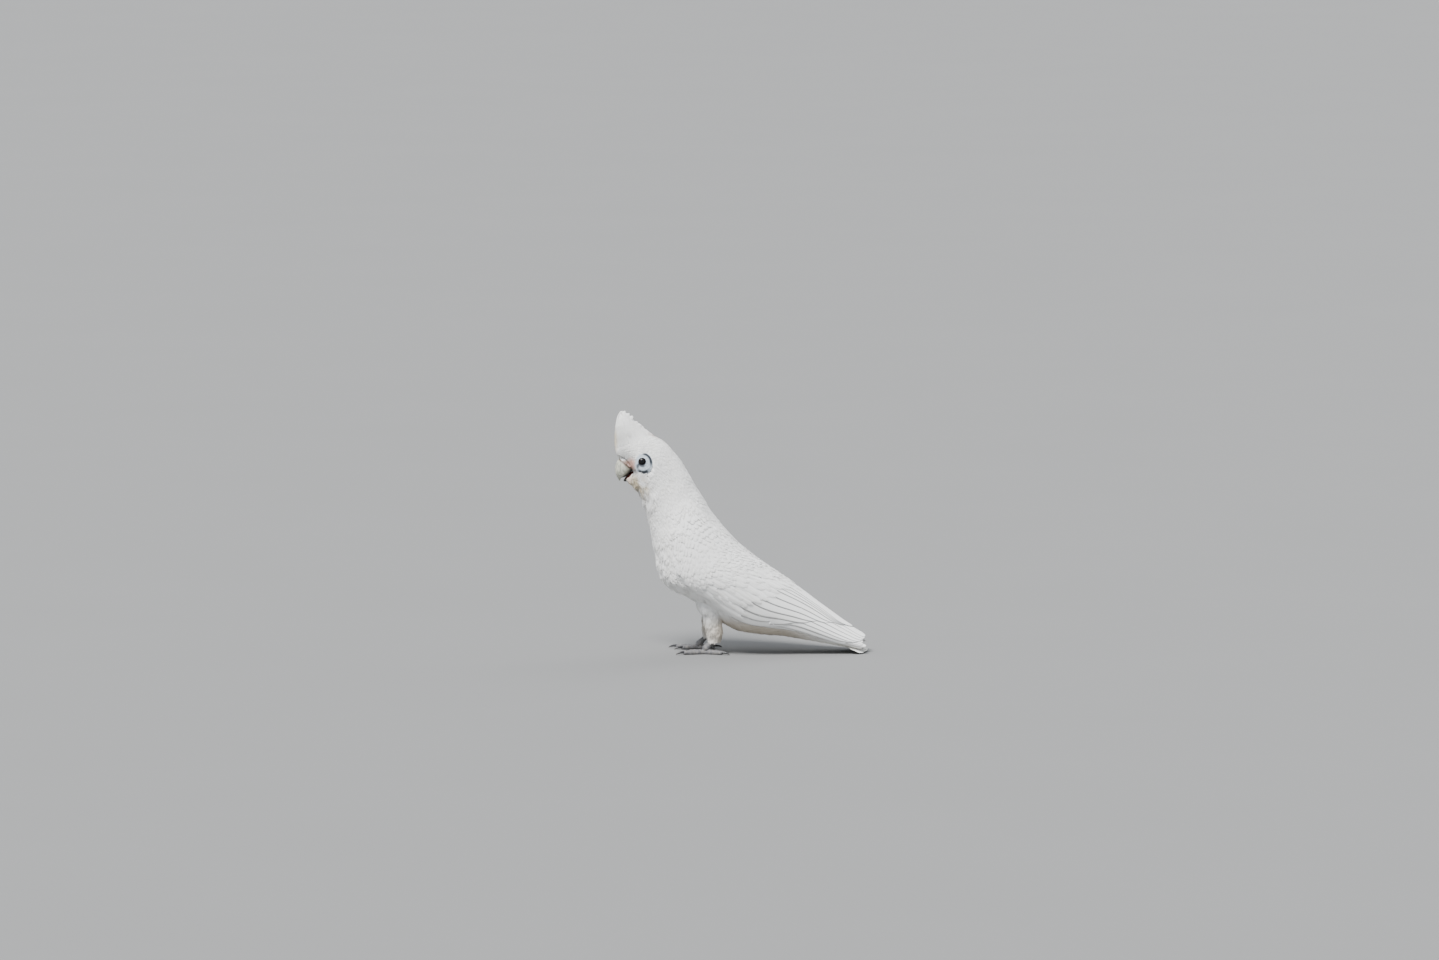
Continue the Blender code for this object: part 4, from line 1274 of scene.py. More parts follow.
@dataclass(frozen=True)
class Leg:
    """A leg: the feathered thigh and shank, and the bare foot with its toes and claws. Lengths are in mm."""

    side: int = LEFT
    lean: float = 0.0  # how much further back the foot stands than the stations say
    lean_top: float = 50.0  # height at which the lean begins
    thigh_out: float = 23.5  # how far out from the bird's middle
    shank_out: float = 22.0
    ankle: Pair = (-29.5, 17.5)  # x and z
    sole: Pair = (-43.0, 4.2)
    tarsus_radius: float = 3.1
    pad_radius: float = 5.0
    toe_height: float = 0.8  # height of a toe's middle as a share of its radius
    claw_length: float = 8.5
    claw_radius: float = 1.5
    coat_depth: float = 1.7  # between the flesh and the outside of the feathers
    toes: tuple[Triple, ...] = (  # degrees from straight ahead, length, radius
        (200, 13, 2.7),
        (-17, 18, 2.9),
        (17, 25, 3.1),
        (158, 22, 3.0),
    )
    thigh: Form = Form(
        (
            (-51.5, 69.1, -17.2, 71.4, 10.0),  # hip
            (-53.2, 58.8, -24.0, 59.9, 12.0),  # thigh
            (-49.2, 49.5, -26.9, 50.1, 11.0),  # knee
            (-42.4, 43.6, -33.2, 43.6, 5.0),  # end
        ),
        top_square=2.2,
        under_square=2.2,
    )
    shank: Form = Form(
        (
            (-46.0, 50.0, -24.6, 52.0, 8.6),  # knee
            (-44.1, 43.8, -24.0, 44.9, 8.6),  # calf
            (-42.9, 31.1, -22.9, 32.3, 7.6),  # middle
            (-40.6, 20.7, -22.3, 21.9, 6.6),  # ankle
            (-37.5, 13.0, -26.0, 12.4, 4.4),  # cuff
        ),
        top_square=2.2,
        under_square=2.2,
    )
    trousers: Form = Form(
        (
            (-51.5, 69.1, -17.2, 71.4, 10.5),  # hip
            (-53.0, 58.8, -23.0, 59.9, 12.0),  # thigh
            (-49.8, 50.2, -24.6, 51.4, 10.8),  # knee
            (-45.2, 43.4, -24.2, 44.6, 9.2),  # calf
            (-42.9, 31.1, -22.9, 32.3, 7.8),  # middle
            (-40.6, 20.7, -22.3, 21.9, 6.7),  # ankle
            (-38.4, 13.0, -25.0, 12.8, 5.0),  # cuff
            (-38.4, 7.5, -27.5, 6.5, 4.6),  # ends of the longest feathers
        ),
        top_square=2.2,
        under_square=2.2,
    )
    coat_end: float = 5.4  # station of the trousers below which no feather grows

    def placed(self, points: Array, out: float = 0.0) -> Array:
        """Moves points out to the leg's side and leans them, the lean growing from its top to the floor."""
        share = np.clip(1 - points[..., 2:3] / (self.lean_top * MM), 0, 1)
        moved = points + (0, -out * MM, 0) + (self.lean * MM, 0, 0) * share
        return moved * (1, self.side, 1)

    def coat_surface(self, place: Array, turn: Array) -> Array:
        """Points of the outside of the leg's feathers, from hip to cuff in one run."""
        return self.placed(self.trousers.points(place, turn), self.shank_out)

    def flesh(self) -> list[Shape]:
        """Closed bodies of thigh and shank, shrunk towards their middles by the depth of the coat."""
        shapes = []
        for form, out in ((self.thigh, self.thigh_out), (self.shank, self.shank_out)):
            place = np.linspace(0, form.end, form.end * 4 + 1)[:, None]
            rings = self.placed(form.points(place, turns(20)[None, :]), out)
            reach = np.linalg.norm(rings - rings.mean(1, keepdims=True), axis=-1, keepdims=True)
            shapes.append(drawn_in(rings, 1 - self.coat_depth * MM / np.maximum(reach, 3 * MM)))
        return shapes

    def coat(self) -> Shape:
        """Feathers pointing down the leg, smaller towards the foot, their ends ragged over the ankle."""
        seed = 60 if self.side == LEFT else 70
        low, high = (0.0, -math.pi), (float(self.trousers.end), math.pi)
        lie = Lie(self.coat_surface, low, high, float(-self.side))
        a, b, points = lie.spread(lambda _, a, b: np.where(a < self.coat_end, 6.0 - 0.5 * a, np.inf), seed)
        rng = np.random.default_rng(seed)
        plumes = Plumes(
            (15.0 - 1.2 * a) * rng.uniform(0.8, 1.15, len(a)),
            (6.2 - 0.4 * a) * rng.uniform(0.85, 1.15, len(a)),
            -1.6,
            0.6 + 0.7 * ripple(points, 0.012, seed) + rng.uniform(-0.4, 0.4, len(a)),
            0.2 * ripple(points, 0.02, seed + 3) + rng.normal(0, 0.12, len(a)),
        )
        return SOFT_CUT.lay(lie, a, b, plumes, seed)

    def foot(self, name: str, finish: Material) -> bpy.types.Object:
        """The bare lower leg and toes as one skin, ringed by the steps of their scales.

        Args:
            name: The new object's name.
            finish: The finish of the scaly skin.

        Returns:
            The foot.
        """
        part = np.linspace(0, 1, 60)
        x = self.ankle[0] + (self.sole[0] - self.ankle[0]) * part**0.9
        z = self.ankle[1] + (self.sole[1] - self.ankle[1]) * part**1.3
        path = np.stack([x, np.full_like(x, -self.shank_out), z], axis=-1)
        widening = np.clip((part - 0.55) / 0.45, 0, 1)
        radii = self.tarsus_radius + (self.pad_radius - self.tarsus_radius) * widening
        radii = radii * (1 + 0.035 * self.steps(part, 12)) * np.sqrt(1 - 0.6 * smooth_step(0.82, 1.0, part))
        shapes = [self.limb(path, radii, 28)]
        for heading, length, radius in self.toes:
            share = np.linspace(0, 1, 70)
            pads = 1.0 - 0.18 * share + 0.09 * np.cos(share * 6 * math.pi)
            radii = radius * pads * (1 + 0.04 * self.steps(share, length / 1.9))
            radii = radii * np.sqrt(np.clip(1 - np.clip((share - 0.9) / 0.1, 0, 1) ** 2 * 0.6, 0, 1))
            path = self.toe_path(heading, length * share, radius * self.toe_height)
            shapes.append(self.limb(path, radii, 24))
        return voxel_union(shapes, name, finish, FOOT_CELL)

    def toe_path(self, heading: float, reach: Array, height: Array | float) -> Array:
        """Points in mm at reaches from the sole's middle and at heights, a heading in degrees from ahead."""
        angle = math.radians(heading)
        x = self.sole[0] - reach * math.cos(angle)
        y = -self.shank_out - reach * math.sin(angle)
        return np.stack(np.broadcast_arrays(x, y, height), axis=-1)

    @staticmethod
    def steps(part: Array, count: float) -> Array:
        """A slanting step for each scale: it rises slowly over the scale and drops at its end."""
        saw = (part * count) % 1.0
        return saw * smooth_step(1.0, 0.86, saw)

    def limb(self, path: Array, radii: Array, around: int) -> Shape:
        """A closed tube along a path in mm, flat where it meets the floor."""
        rings = tube(path * MM, radii * MM, around)
        rings[..., 2] = np.maximum(rings[..., 2], 0.0)
        return closed_rings(self.placed(rings))

    def claw(self, toe: int) -> Shape:
        """A claw that curves from the toe's end down to the floor, thinning as (1 - part)^0.7."""
        heading, length, radius = self.toes[toe]
        part = np.linspace(0, 1, 26)
        around = 16
        reach = length - 1.2 + (self.claw_length + 1.6) * np.sin(part * 1.25) / math.sin(1.25)
        height = 0.5 + (radius * 0.95 - 0.3) * np.cos(part * math.pi / 2) ** 0.8
        radii = self.claw_radius * (1 - part) ** 0.7 + 0.22
        shape = self.limb(self.toe_path(heading, reach, height), radii, around)
        shape.maps = {"form": tube_map(np.arange(around) / around, part[:, None])}
        return shape


@dataclass(frozen=True)
class Bill:
    """Both halves of the bill, with growth lines and painted shade along the cutting edge, and the mouth
    between them.
    """

    upper: Form = Form(
        (
            (-135.1, 225.8, -119.1, 212.0, 10.0),  # root
            (-141.6, 221.8, -125.4, 208.9, 10.6),  # base
            (-144.5, 215.4, -129.4, 204.6, 9.8),  # curve
            (-145.3, 208.8, -134.0, 201.6, 7.8),  # hook
            (-143.8, 203.0, -138.2, 200.4, 4.6),  # bend
            (-140.5, 197.1, -139.4, 197.5, 1.0),  # tip
        ),
        top_square=(2.0, 2.0, 2.0, 1.9, 1.9, 2.0),
        under_square=2.2,
    )
    lower: Form = Form(
        (
            (-118.8, 208.4, -115.6, 192.2, 8.2),  # root
            (-125.6, 206.8, -123.7, 191.6, 8.4),  # base
            (-129.4, 202.6, -128.5, 193.4, 7.2),  # side
            (-133.2, 199.4, -131.9, 196.8, 4.6),  # edge
        ),
        top_square=(3.0, 3.0, 3.0, 2.6),
        under_square=2.2,
    )

    def half(self, form: Form, edge_turn: float) -> Shape:
        """One half as a closed shape with fine growth rings.

        Args:
            form: Its stations.
            edge_turn: The turn at which the painted shade of its cutting edge lies.

        Returns:
            The shape with its map and the mark of its edge.
        """
        place, turn = paired(np.linspace(0, form.end, 84)[:, None], turns(56, -math.pi)[None, :])
        points = form.points(place, turn)
        middle = form.middle(place)
        ring = 0.03 * np.sin(place * 13 + 0.8 * np.cos(turn)) + 0.03 * ripple(points, 0.012, 5)
        points = points + unit(points - middle) * (ring * MM)[..., None]
        shape = closed_rings(points)
        # the edge and root marks carry painted shade: the gap along the cutting edge and the crevice under
        # the feathers at the root
        edge = smooth_step(1.15, 0.8, np.abs(np.abs(turn) - edge_turn)) * smooth_step(0.2, 0.6, place)
        edge = edge * smooth_step(4.4, 3.4, place)
        root = smooth_step(1.15, 0.8, place) * smooth_step(0.1, 0.5, np.abs(turn))
        shape.maps = {"form": tube_map(turn / (2 * math.pi) + 0.5, place / form.end)}
        shape.marks = {
            "edge": np.concatenate([0.95 * edge.reshape(-1), [0.0], [0.6]]),
            "root": np.concatenate([0.9 * root.reshape(-1), [0.9], [0.0]]),
        }
        return shape

    def mouth(self) -> Shape:
        """The lining: a closed body that tapers from the throat to just behind the hook."""
        part = np.linspace(0, 1, 30)
        path = np.stack([-116.0 - 19.6 * part, 0 * part, 208.0 - 10.6 * part**1.2], axis=-1)
        rounding = np.sqrt(1 - 0.97 * np.clip((part - 0.62) / 0.38, 0, 1) ** 2)
        wide = (8.4 - 4.4 * part) * rounding
        deep = (6.6 - 3.4 * part) * rounding
        turn = turns(24)[None, :]
        across = wide[:, None] * np.cos(turn)
        above = deep[:, None] * np.sin(turn)
        rings = path[:, None] + np.stack([0 * across, across, above], axis=-1)
        return closed_rings(rings * MM)

    def fringe(self) -> list[Shape]:
        """Short feathers over the roots of both halves, so that the horn starts at a soft edge."""
        return [
            self.half_fringe(0, self.upper, (0.8, 0.78), (0.0, 2.0), 2.0, 0.42),
            self.half_fringe(1, self.lower, (2.75, 2.65), (0.85, 3.2), 3.6, 0.6),
        ]

    @staticmethod
    def half_fringe(number: int, form: Form, run: Pair, sides: Pair, length: float, shown: float) -> Shape:
        """The fringe of one half, laid on its form run backwards from the line where the horn begins.

        Args:
            number: The half's number, for its draws and its tile of the bake map.
            form: The half's form.
            run: The station where the horn begins, and how far back from it the feathers grow.
            sides: The least and the greatest turn at which they grow.
            length: Length in mm.
            shown: Area in mm2 that one feather shows.

        Returns:
            The feathers.
        """
        line, last = run
        tile = (0.0, 0.8 + 0.1 * number, 1.0, 0.1)
        lie = Lie(lambda a, b: form.points(line - a, b), (0.0, -math.pi), (line, math.pi), tile=tile)

        def shown_area(_: Array, a: Array, b: Array) -> Array:
            """The same area for each feather, and infinite off the feathered part."""
            grows = (a < last) & (np.abs(b) > sides[0]) & (np.abs(b) < sides[1])
            return np.where(grows, shown, np.inf)

        a, b, points = lie.spread(shown_area, 70 + number)
        rng = np.random.default_rng(70 + number)
        plumes = Plumes(
            length * rng.uniform(0.8, 1.2, len(a)),
            1.0 * rng.uniform(0.85, 1.15, len(a)),
            -0.15,
            0.55 + 0.3 * ripple(points, 0.006, 71) + rng.normal(0, 0.1, len(a)),
            rng.normal(0, 0.16, len(a)),
        )
        return FACE_CUT.lay(lie, a, b, plumes, 72 + number)


@dataclass(frozen=True)
class Body:
    """Head, neck and trunk: the depth of the coat, the skin under it and the small feathers over it.

    Tables run along the stations from face to tip, in mm.
    """

    wing: Wing
    bill: Bill
    rim: float = 0.32  # share of the way in to the muzzle on which feathers still grow
    neck: float = 3.4  # station at which the neck's feathers begin
    trunk: float = 5.3  # station at which the trunk's feathers begin
    rear: float = 10.45  # station at which the flesh of the back ends
    under_reach: float = 0.75  # stations by which the undertail runs on past the back
    depth: Row = (1.0, 1.2, 1.7, 2.1, 2.4, 2.6, 2.8, 2.9, 2.9, 2.8, 2.6, 2.2, 2.0)
    length: Row = (3.4, 4.2, 5.6, 7.4, 9.0, 10.5, 12.5, 14.0, 15.0, 16.0, 17.0, 20.0, 20.0)
    width: Row = (1.6, 1.9, 2.6, 3.4, 4.2, 5.2, 6.4, 7.4, 8.0, 8.6, 9.0, 10.0, 10.0)
    shown: Row = (1.1, 1.3, 1.8, 2.6, 4.0, 6.0, 8.5, 10.0, 12.0, 13.0, 14.0, 18.0, 18.0)
    ring_radii: Pair = (9.0, 11.0)  # of the bare skin round the eye
    face_end: float = 1.6  # station at which the face's feathers give way to larger ones

    def sheet(self, rim: float) -> Lie:
        """The outline as a sheet that starts a share of the way in to the muzzle.

        Its a runs along the stations and its b round the section.
        """
        return Lie(BODY.surface, (-rim, -math.pi), (float(BODY.end), math.pi), tile=(0.0, 0.0, 1.0, 0.8))

    def flesh(self) -> Shape:
        """The body drawn in by the coat's depth, as a closed shape."""
        place = np.concatenate([np.linspace(-0.9, -0.1, 9), np.linspace(0.0, self.rear, 140)])[:, None]
        place, turn = paired(place, turns(120, -math.pi)[None, :])
        place = place + self.undertail(turn) * np.clip(place / self.rear, 0, 1) ** 4
        points, normals, _, _ = self.sheet(0.95).frame(place, turn)
        return closed_rings(points - normals * (along(self.depth, place) * MM)[..., None])

    def skin(self, others: list[Shape], finish: Material) -> bpy.types.Object:
        """One skin over the body, the legs and the roots of crest and tail.

        Args:
            others: Closed bodies that join the trunk.
            finish: The plumage finish for skin.

        Returns:
            The skin.
        """
        return voxel_union([self.flesh(), *others], "skin", finish, SKIN_CELL)

    def undertail(self, turn: Array) -> Array:
        """Stations by which the body runs on past its rear at a turn."""
        return self.under_reach * ((1 - np.cos(turn)) / 2) ** 2

    def from_eye(self, points: Array) -> Array:
        """How far places are from the middle of the eye's bare skin: 1 at its edge."""
        x, z = points[..., 0] / MM, points[..., 2] / MM
        return np.hypot((x - EYE_RING[0]) / self.ring_radii[0], (z - EYE_RING[1]) / self.ring_radii[1])

    def grows(self, points: Array, a: Array, b: Array) -> Array:
        """Whether a feather grows at a root: not under the wing, on bare skin or past the rump."""
        part, down = self.wing.shares(a, b)
        covered = (part > 0.05) & (down > 0.08) & (down < 0.95)
        bare = (self.from_eye(points) < 1) & (np.abs(points[..., 1]) > 12 * MM) & (a < 4)
        past = a > self.rear + self.undertail(b)
        return ~(covered | bare | past)

    def shown_area(self, points: Array, a: Array, b: Array) -> Array:
        """Area in mm2 that one feather shows: from the table, and infinite where none grow."""
        return np.where(self.grows(points, a, b), along(self.shown, a), np.inf)

    def sizes(self, points: Array, a: Array, b: Array, seed: int) -> Plumes:
        """Sizes of the feathers, ruffled at cheek, breast and wing bend and laid round crest and eye.

        Args:
            points: Their roots in metres.
            a: The roots' station numbers.
            b: The roots' turns.
            seed: Start of the random draws.

        Returns:
            The sizes.
        """
        rng = np.random.default_rng(seed)
        x, y, z = points.T / MM
        length, width = along(self.length, a), along(self.width, a)
        depth = along(self.depth, a)
        tip = -0.16 * depth + 0.13 * depth * ripple(points, 0.02, seed) + rng.normal(0, 0.05, len(a)) * depth
        swing = 0.14 * ripple(points, 0.035, seed + 1) + rng.normal(0, 0.09, len(a))
        cheek = 1 - smooth_step(0.5, 1.0, np.hypot((x + 116) / 20, (z - 186) / 18))
        breast = smooth_step(1.7, 2.7, np.abs(b)) * smooth_step(4.6, 6.0, a)
        breast = breast * (1 - 0.6 * smooth_step(7.2, 8.6, a))
        bend = np.exp(-(((x + 72) / 17) ** 2) - ((z - 148) / 5) ** 2)
        tip = tip + 1.6 * bend
        tip = tip + cheek * (0.7 + 0.9 * ripple(points, 0.008, seed + 2))
        tip = tip + breast * (0.5 + 0.9 * ripple(points, 0.012, seed + 3))
        swing = swing + cheek * 0.35 * ripple(points, 0.012, seed + 4)
        length = length * (1 + 0.45 * cheek + 0.1 * breast)
        from_crest = np.hypot(np.hypot((x + 122) / 27, (z - 243) / 12), y / 14)
        at_crest = 1 - smooth_step(0.6, 1.5, from_crest)
        tip = tip + 0.5 * at_crest
        swing = swing - np.sign(b) * 0.9 * at_crest
        length = length * (1 + 0.5 * at_crest)
        lift, turned = self.round_wing(a, b)
        before_eye = (x < EYE_RING[0] + 2) & (a < 3) & (np.abs(y) > 10)
        short = np.minimum(length, 2.0 + 9.0 * np.maximum(self.from_eye(points) - 1, 0))
        length = np.where(before_eye, short, length) * rng.uniform(0.85, 1.15, len(a))
        width = width * rng.uniform(0.85, 1.15, len(a))
        return Plumes(length, width, -0.85 * depth, tip + lift, swing + turned)

    def round_wing(self, a: Array, b: Array) -> tuple[Array, Array]:
        """Lift in mm and swing of feathers beside the wing: raised before and above it, tucked in below."""
        part, down = self.wing.shares(a, b)
        before = (1 - smooth_step(0.06, 0.12, np.abs(part + 0.02))) * (down > -0.05) * (down < 1.05)
        above = (1 - smooth_step(0.1, 0.25, np.abs(down + 0.03))) * (part > 0)
        above = above * (1 - smooth_step(0.45, 0.6, part))
        below = (down > 0.95) * (1 - smooth_step(1.06, 1.2, down)) * (part > 0.02)
        fore = 1 - smooth_step(0.1, 0.28, part)
        lift = 2.0 * np.maximum(before, above) + below * (1.8 * fore - 1.8 * (1 - fore))
        return lift, np.sign(b) * (0.22 * above - 0.1 * below * fore)

    def coat(self) -> dict[str, Shape]:
        """The small feathers of head, neck and trunk, each its own shape."""
        lie = self.sheet(self.rim)
        a, b, points = lie.spread(self.shown_area, 3)
        plumes = self.sizes(points, a, b, 11)
        lines = (-1.0, self.neck, self.trunk, float(BODY.end) + 1)
        shapes = {}
        for name, first, last in zip(("head", "neck", "trunk"), lines, lines[1:]):
            parts = []
            for cut, low, high in ((FACE_CUT, lines[0], self.face_end), (SOFT_CUT, self.face_end, lines[-1])):
                chosen = (a >= max(first, low)) & (a < min(last, high))
                if chosen.any():
                    seed = len(parts) + 20
                    parts.append(cut.lay(lie, a[chosen], b[chosen], plumes.picked(chosen), seed))
            shapes[name] = Shape.joined(parts)
        shapes["head"] = Shape.joined([shapes["head"], *self.bill.fringe()])
        return shapes


@dataclass(frozen=True)
class Tail:
    """Twelve tail feathers closed into a flat fan, the middle pair on top, and the coverts over them."""

    pairs: int = 6
    covert_rows: int = 3  # rows of coverts over its root, each above the one behind
    width: float = 15.0
    covert_width: float = 13.0

    def feathers(self) -> list[Shape]:
        """The tail feathers, outermost first, each a little lower and shorter than the one above."""
        lie = Lie(TAIL.sheet, (0.0, -1.0), (2.0, 1.0), -1.0)
        shapes = []
        for side in (-1, 1):
            for pair in range(self.pairs):
                out = (pair + 0.5) / self.pairs
                start = (0.35, side * out * 0.5)
                end = (1.998 - 0.012 * pair, side * (out * 0.86 - 0.02))
                heights = (-1.0 - 0.3 * pair, -0.15 - 0.33 * pair)
                cut = Quill(tip=0.12, slim=0.35, shaft_side=-0.1 * side)
                seed = 300 + pair * 2 + side
                shapes.append(cut.lay(lie, start, end, self.width, heights, 0.25 * side, seed))
        for row in range(self.covert_rows):
            for side in (-1, 1):
                cut = replace(TAIL_COVERT_CUT, shaft_side=-0.1 * side)
                for number in (2, 1, 0):
                    out = (number + 0.5) / 3
                    start = (0.4, side * out * 0.5)
                    end = (1.86 - 0.12 * row - 0.03 * number, side * out * 0.8)
                    heights = (-0.4, 0.9 + 1.5 * row - 0.3 * number)
                    seed = 340 + len(shapes)
                    shapes.append(cut.lay(lie, start, end, self.covert_width, heights, 0.2 * side, seed))
        for shape in shapes:
            shape.points[:, 2] = np.maximum(shape.points[:, 2], LOWEST)
        return shapes

    def core(self) -> Shape:
        """The flesh of the tail's root."""
        place = np.linspace(0, 0.9, 16)[:, None]
        return drawn_in(TAIL.points(place, turns(24)[None, :]), (1, 0.85, 0.7))


@dataclass(frozen=True)
class Crest:
    """The raised crest: small feathers over its front and sides, long vanes whose ends step up its rear."""

    ends: Row = (4.97, 4.6, 4.1, 3.65, 3.0, 2.65, 2.3, 1.9, 1.6, 1.25)  # stations of the tips, in steps
    coat_top: float = 2.0  # station at which the short feathers give way to long ones
    core_share: float = 0.62  # how much of the crest its flesh fills at the root
    front_bow: Pair = (-147.5, 254.0)  # mm: x and z of the point that the front vanes bend towards

    def core(self) -> Shape:
        """The flesh that the crest grows from, up to its middle."""
        place = np.linspace(0, 2.2, 20)[:, None]
        shrink = np.linspace(self.core_share, 0.25, len(place))[:, None, None]
        return drawn_in(CREST.points(place, turns(24)[None, :]), shrink)

    def skirt(self) -> Shape:
        """Feathers that run from the head up on to the crest and fill the corner between them.

        Their sheet follows a curve with three control points at each turn, from a ring on the head past
        one at the crest's foot to one on the crest.
        """
        ring = np.linspace(-2.6, 2.6, 105)
        foot = CREST.points(1.1, ring)
        ahead = np.maximum(np.cos(ring), 0)
        x, z = foot[:, 0] + 0.9 * MM * ahead, foot[:, 2] - (3.5 + 2.0 * ahead) * MM
        y = np.sign(foot[:, 1]) * np.minimum(BODY.side(x, z), np.abs(foot[:, 1]) * 1.8)

        def surface(a: Array, b: Array) -> Array:
            """Points of the curve from the head past the foot to the crest."""
            a, b = paired(a, b)
            head = np.stack([np.interp(b, ring, part) for part in (x, y, z)], axis=-1)
            low, middle = CREST.points(1.25, b), CREST.middle(1.25)
            low = low + unit(low - middle) * 0.5 * MM
            return bowed(head, low, CREST.points(2.6, b), a[..., None])

        lie = Lie(surface, (0.0, -2.4), (1.0, 2.4), tile=(0.0, 0.8, 1.0, 0.2))
        a, b, points = lie.spread(lambda _, a, b: np.where(a < 0.7, 1.8, np.inf), 6)
        rng = np.random.default_rng(84)
        plumes = Plumes(
            (5.5 + 3.5 * a) * rng.uniform(0.85, 1.15, len(a)),
            (2.1 + 0.8 * a) * rng.uniform(0.85, 1.15, len(a)),
            -0.9,
            0.25 + 0.35 * ripple(points, 0.012, 85) + rng.uniform(-0.2, 0.2, len(a)),
            np.sign(b) * 0.3 * smooth_step(0.2, 1.2, np.abs(b)) + 0.12 * ripple(points, 0.02, 86),
        )
        return SOFT_CUT.lay(lie, a, b, plumes, 87)

    def coat(self) -> Shape:
        """Small feathers that point up the front and sides."""
        lie = Lie(CREST.points, (0.0, -math.pi), (5.0, math.pi), tile=(0.0, 0.0, 1.0, 0.8))
        a, b, points = lie.spread(lambda _, a, b: np.where(a < self.coat_top, 1.5 + 1.2 * a, np.inf), 5)
        rng = np.random.default_rng(80)
        rear = smooth_step(1.2, 2.4, np.abs(b))
        plumes = Plumes(
            (5.5 + 5.0 * a) * rng.uniform(0.85, 1.15, len(a)),
            (2.2 + 1.5 * a) * rng.uniform(0.85, 1.15, len(a)),
            -1.3,
            0.25 + 0.4 * ripple(points, 0.012, 81) + rng.uniform(-0.25, 0.25, len(a)),
            np.sign(b) * (0.35 - 0.3 * rear) + 0.12 * ripple(points, 0.02, 82),
        )
        return Shape.joined([SOFT_CUT.lay(lie, a, b, plumes, 83), self.skirt()])

    def flanks(self) -> list[Shape]:
        """Long feathers laid on the sides, sweeping up and back, the foremost longest."""
        lie = Lie(CREST.points, (0.0, -math.pi), (5.0, math.pi))
        shapes = []
        rng = np.random.default_rng(95)
        for row, (base, rows) in enumerate(((0.2, 8), (0.7, 7), (1.2, 6))):
            start, tip = (base, 0.0), (4.9 - 0.9 * row, 0.04 * (row - 1))
            shapes.append(FLANK_CUT.lay(lie, start, tip, 7.5, (-1.5, 0.3 - 0.35 * (2 - row)), 0.0, 950 + row))
            for number in range(rows):
                part = (number + 0.5 * row) / rows
                for side in (-1, 1):
                    turn = 0.16 + 2.1 * part + rng.normal(0, 0.04)
                    end_turn = min(turn + 0.6 * smooth_step(0.0, 0.4, part) + 0.1 * part, 2.95)
                    end = 4.93 - (2.6 - 0.4 * row) * part**1.2 - 0.9 * row * (1 - part) + rng.normal(0, 0.07)
                    heights = (-1.5, 0.15 - 0.35 * (2 - row) + rng.normal(0, 0.12))
                    width = 7.5 * rng.uniform(0.85, 1.1)
                    start, tip = (base, side * turn), (min(end, 4.95), side * end_turn)
                    seed = 960 + len(shapes)
                    shapes.append(FLANK_CUT.lay(lie, start, tip, width, heights, -0.3 * side, seed))
        cut = replace(FLANK_CUT, tip=0.42)
        for end in self.ends:
            for side in (-2, 2, -1, 1, 0):
                start = (max(end - 1.7, 0.1), math.pi + 0.6 * side)
                tip = (min(end, 4.93) - 0.06 * abs(side), math.pi + 0.42 * side)
                heights = (-2.2, -0.1 - 0.15 * abs(side) + rng.normal(0, 0.08))
                width = 5.6 * rng.uniform(0.85, 1.1)
                seed = 1100 + len(shapes)
                shapes.append(cut.lay(lie, start, tip, width, heights, 0.2 * np.sign(side), seed))
        return shapes

    def vanes(self) -> list[Shape]:
        """Long narrow feathers in upright planes, laid on sheets between the front and the rear line.

        Each follows a curve with three control points, from its root past a bow to its tip.
        """
        shapes = []
        rng = np.random.default_rng(90)
        base, rear = CREST.points(0.2, 0.0), CREST.points(0.2, math.pi)
        bow_front = np.array([self.front_bow[0], 0.0, self.front_bow[1]]) * MM
        for step, end in enumerate(self.ends):
            part = step / (len(self.ends) - 1)
            root = base + (rear - base) * (0.08 + 0.84 * part)
            past = np.array([0.0012, 0, 0.0008]) * min(step, 1) * (1 - 2.6 * part**4)
            tip = CREST.points(end, math.pi) + past
            bow = bow_front * (1 - part) + (0.35 * root + 0.65 * tip + (-0.004, 0, 0.002)) * part
            half = float(CREST.shape(np.array(end - 0.4))[2])
            for layer in (-0.7, -0.25, 0.25, 0.7):
                out = layer * half * rng.uniform(0.75, 1.0) * MM
                jitter = rng.normal(0, 0.0009, 3) * (1, 0.3, 1)
                lie = self.upright(root, bow, tip + jitter * (0.2 + part), out, np.sign(layer))
                width = rng.uniform(6.5, 8.0) * (0.75 + 0.15 * part - 0.35 * part**3)
                seed = 900 + len(shapes)
                shapes.append(CREST_CUT.lay(lie, (0.0, 0.0), (1.0, 0.0), width, (0.0, 0.0), 0.3, seed))
        return shapes

    @staticmethod
    def upright(root: Array, bow: Array, tip: Array, out: float, side: float) -> Lie:
        """An upright sheet along a curve, its far end leaning in to the middle.

        Args:
            root: The curve's first control point.
            bow: Its second.
            tip: Its third.
            out: Metres out from the curve at the root.
            side: The side to which the sheet's edges bend away.

        Returns:
            The sheet.
        """

        def surface(a: Array, b: Array) -> Array:
            """Points of the curve, moved b square to it and out to a side."""
            a, b = paired(a, b)
            share = a[..., None]
            curve = bowed(root, bow, tip, share)
            ahead = unit(2 * (1 - share) * (bow - root) + 2 * share * (tip - bow))
            square = np.stack([-ahead[..., 2], np.zeros_like(a), ahead[..., 0]], axis=-1)
            points = curve + square * b[..., None]
            points[..., 1] += out * (1 - 0.55 * a**1.5) - side * 18.0 * b**2
            return points

        return Lie(surface, (0.0, -0.02), (1.0, 0.02))


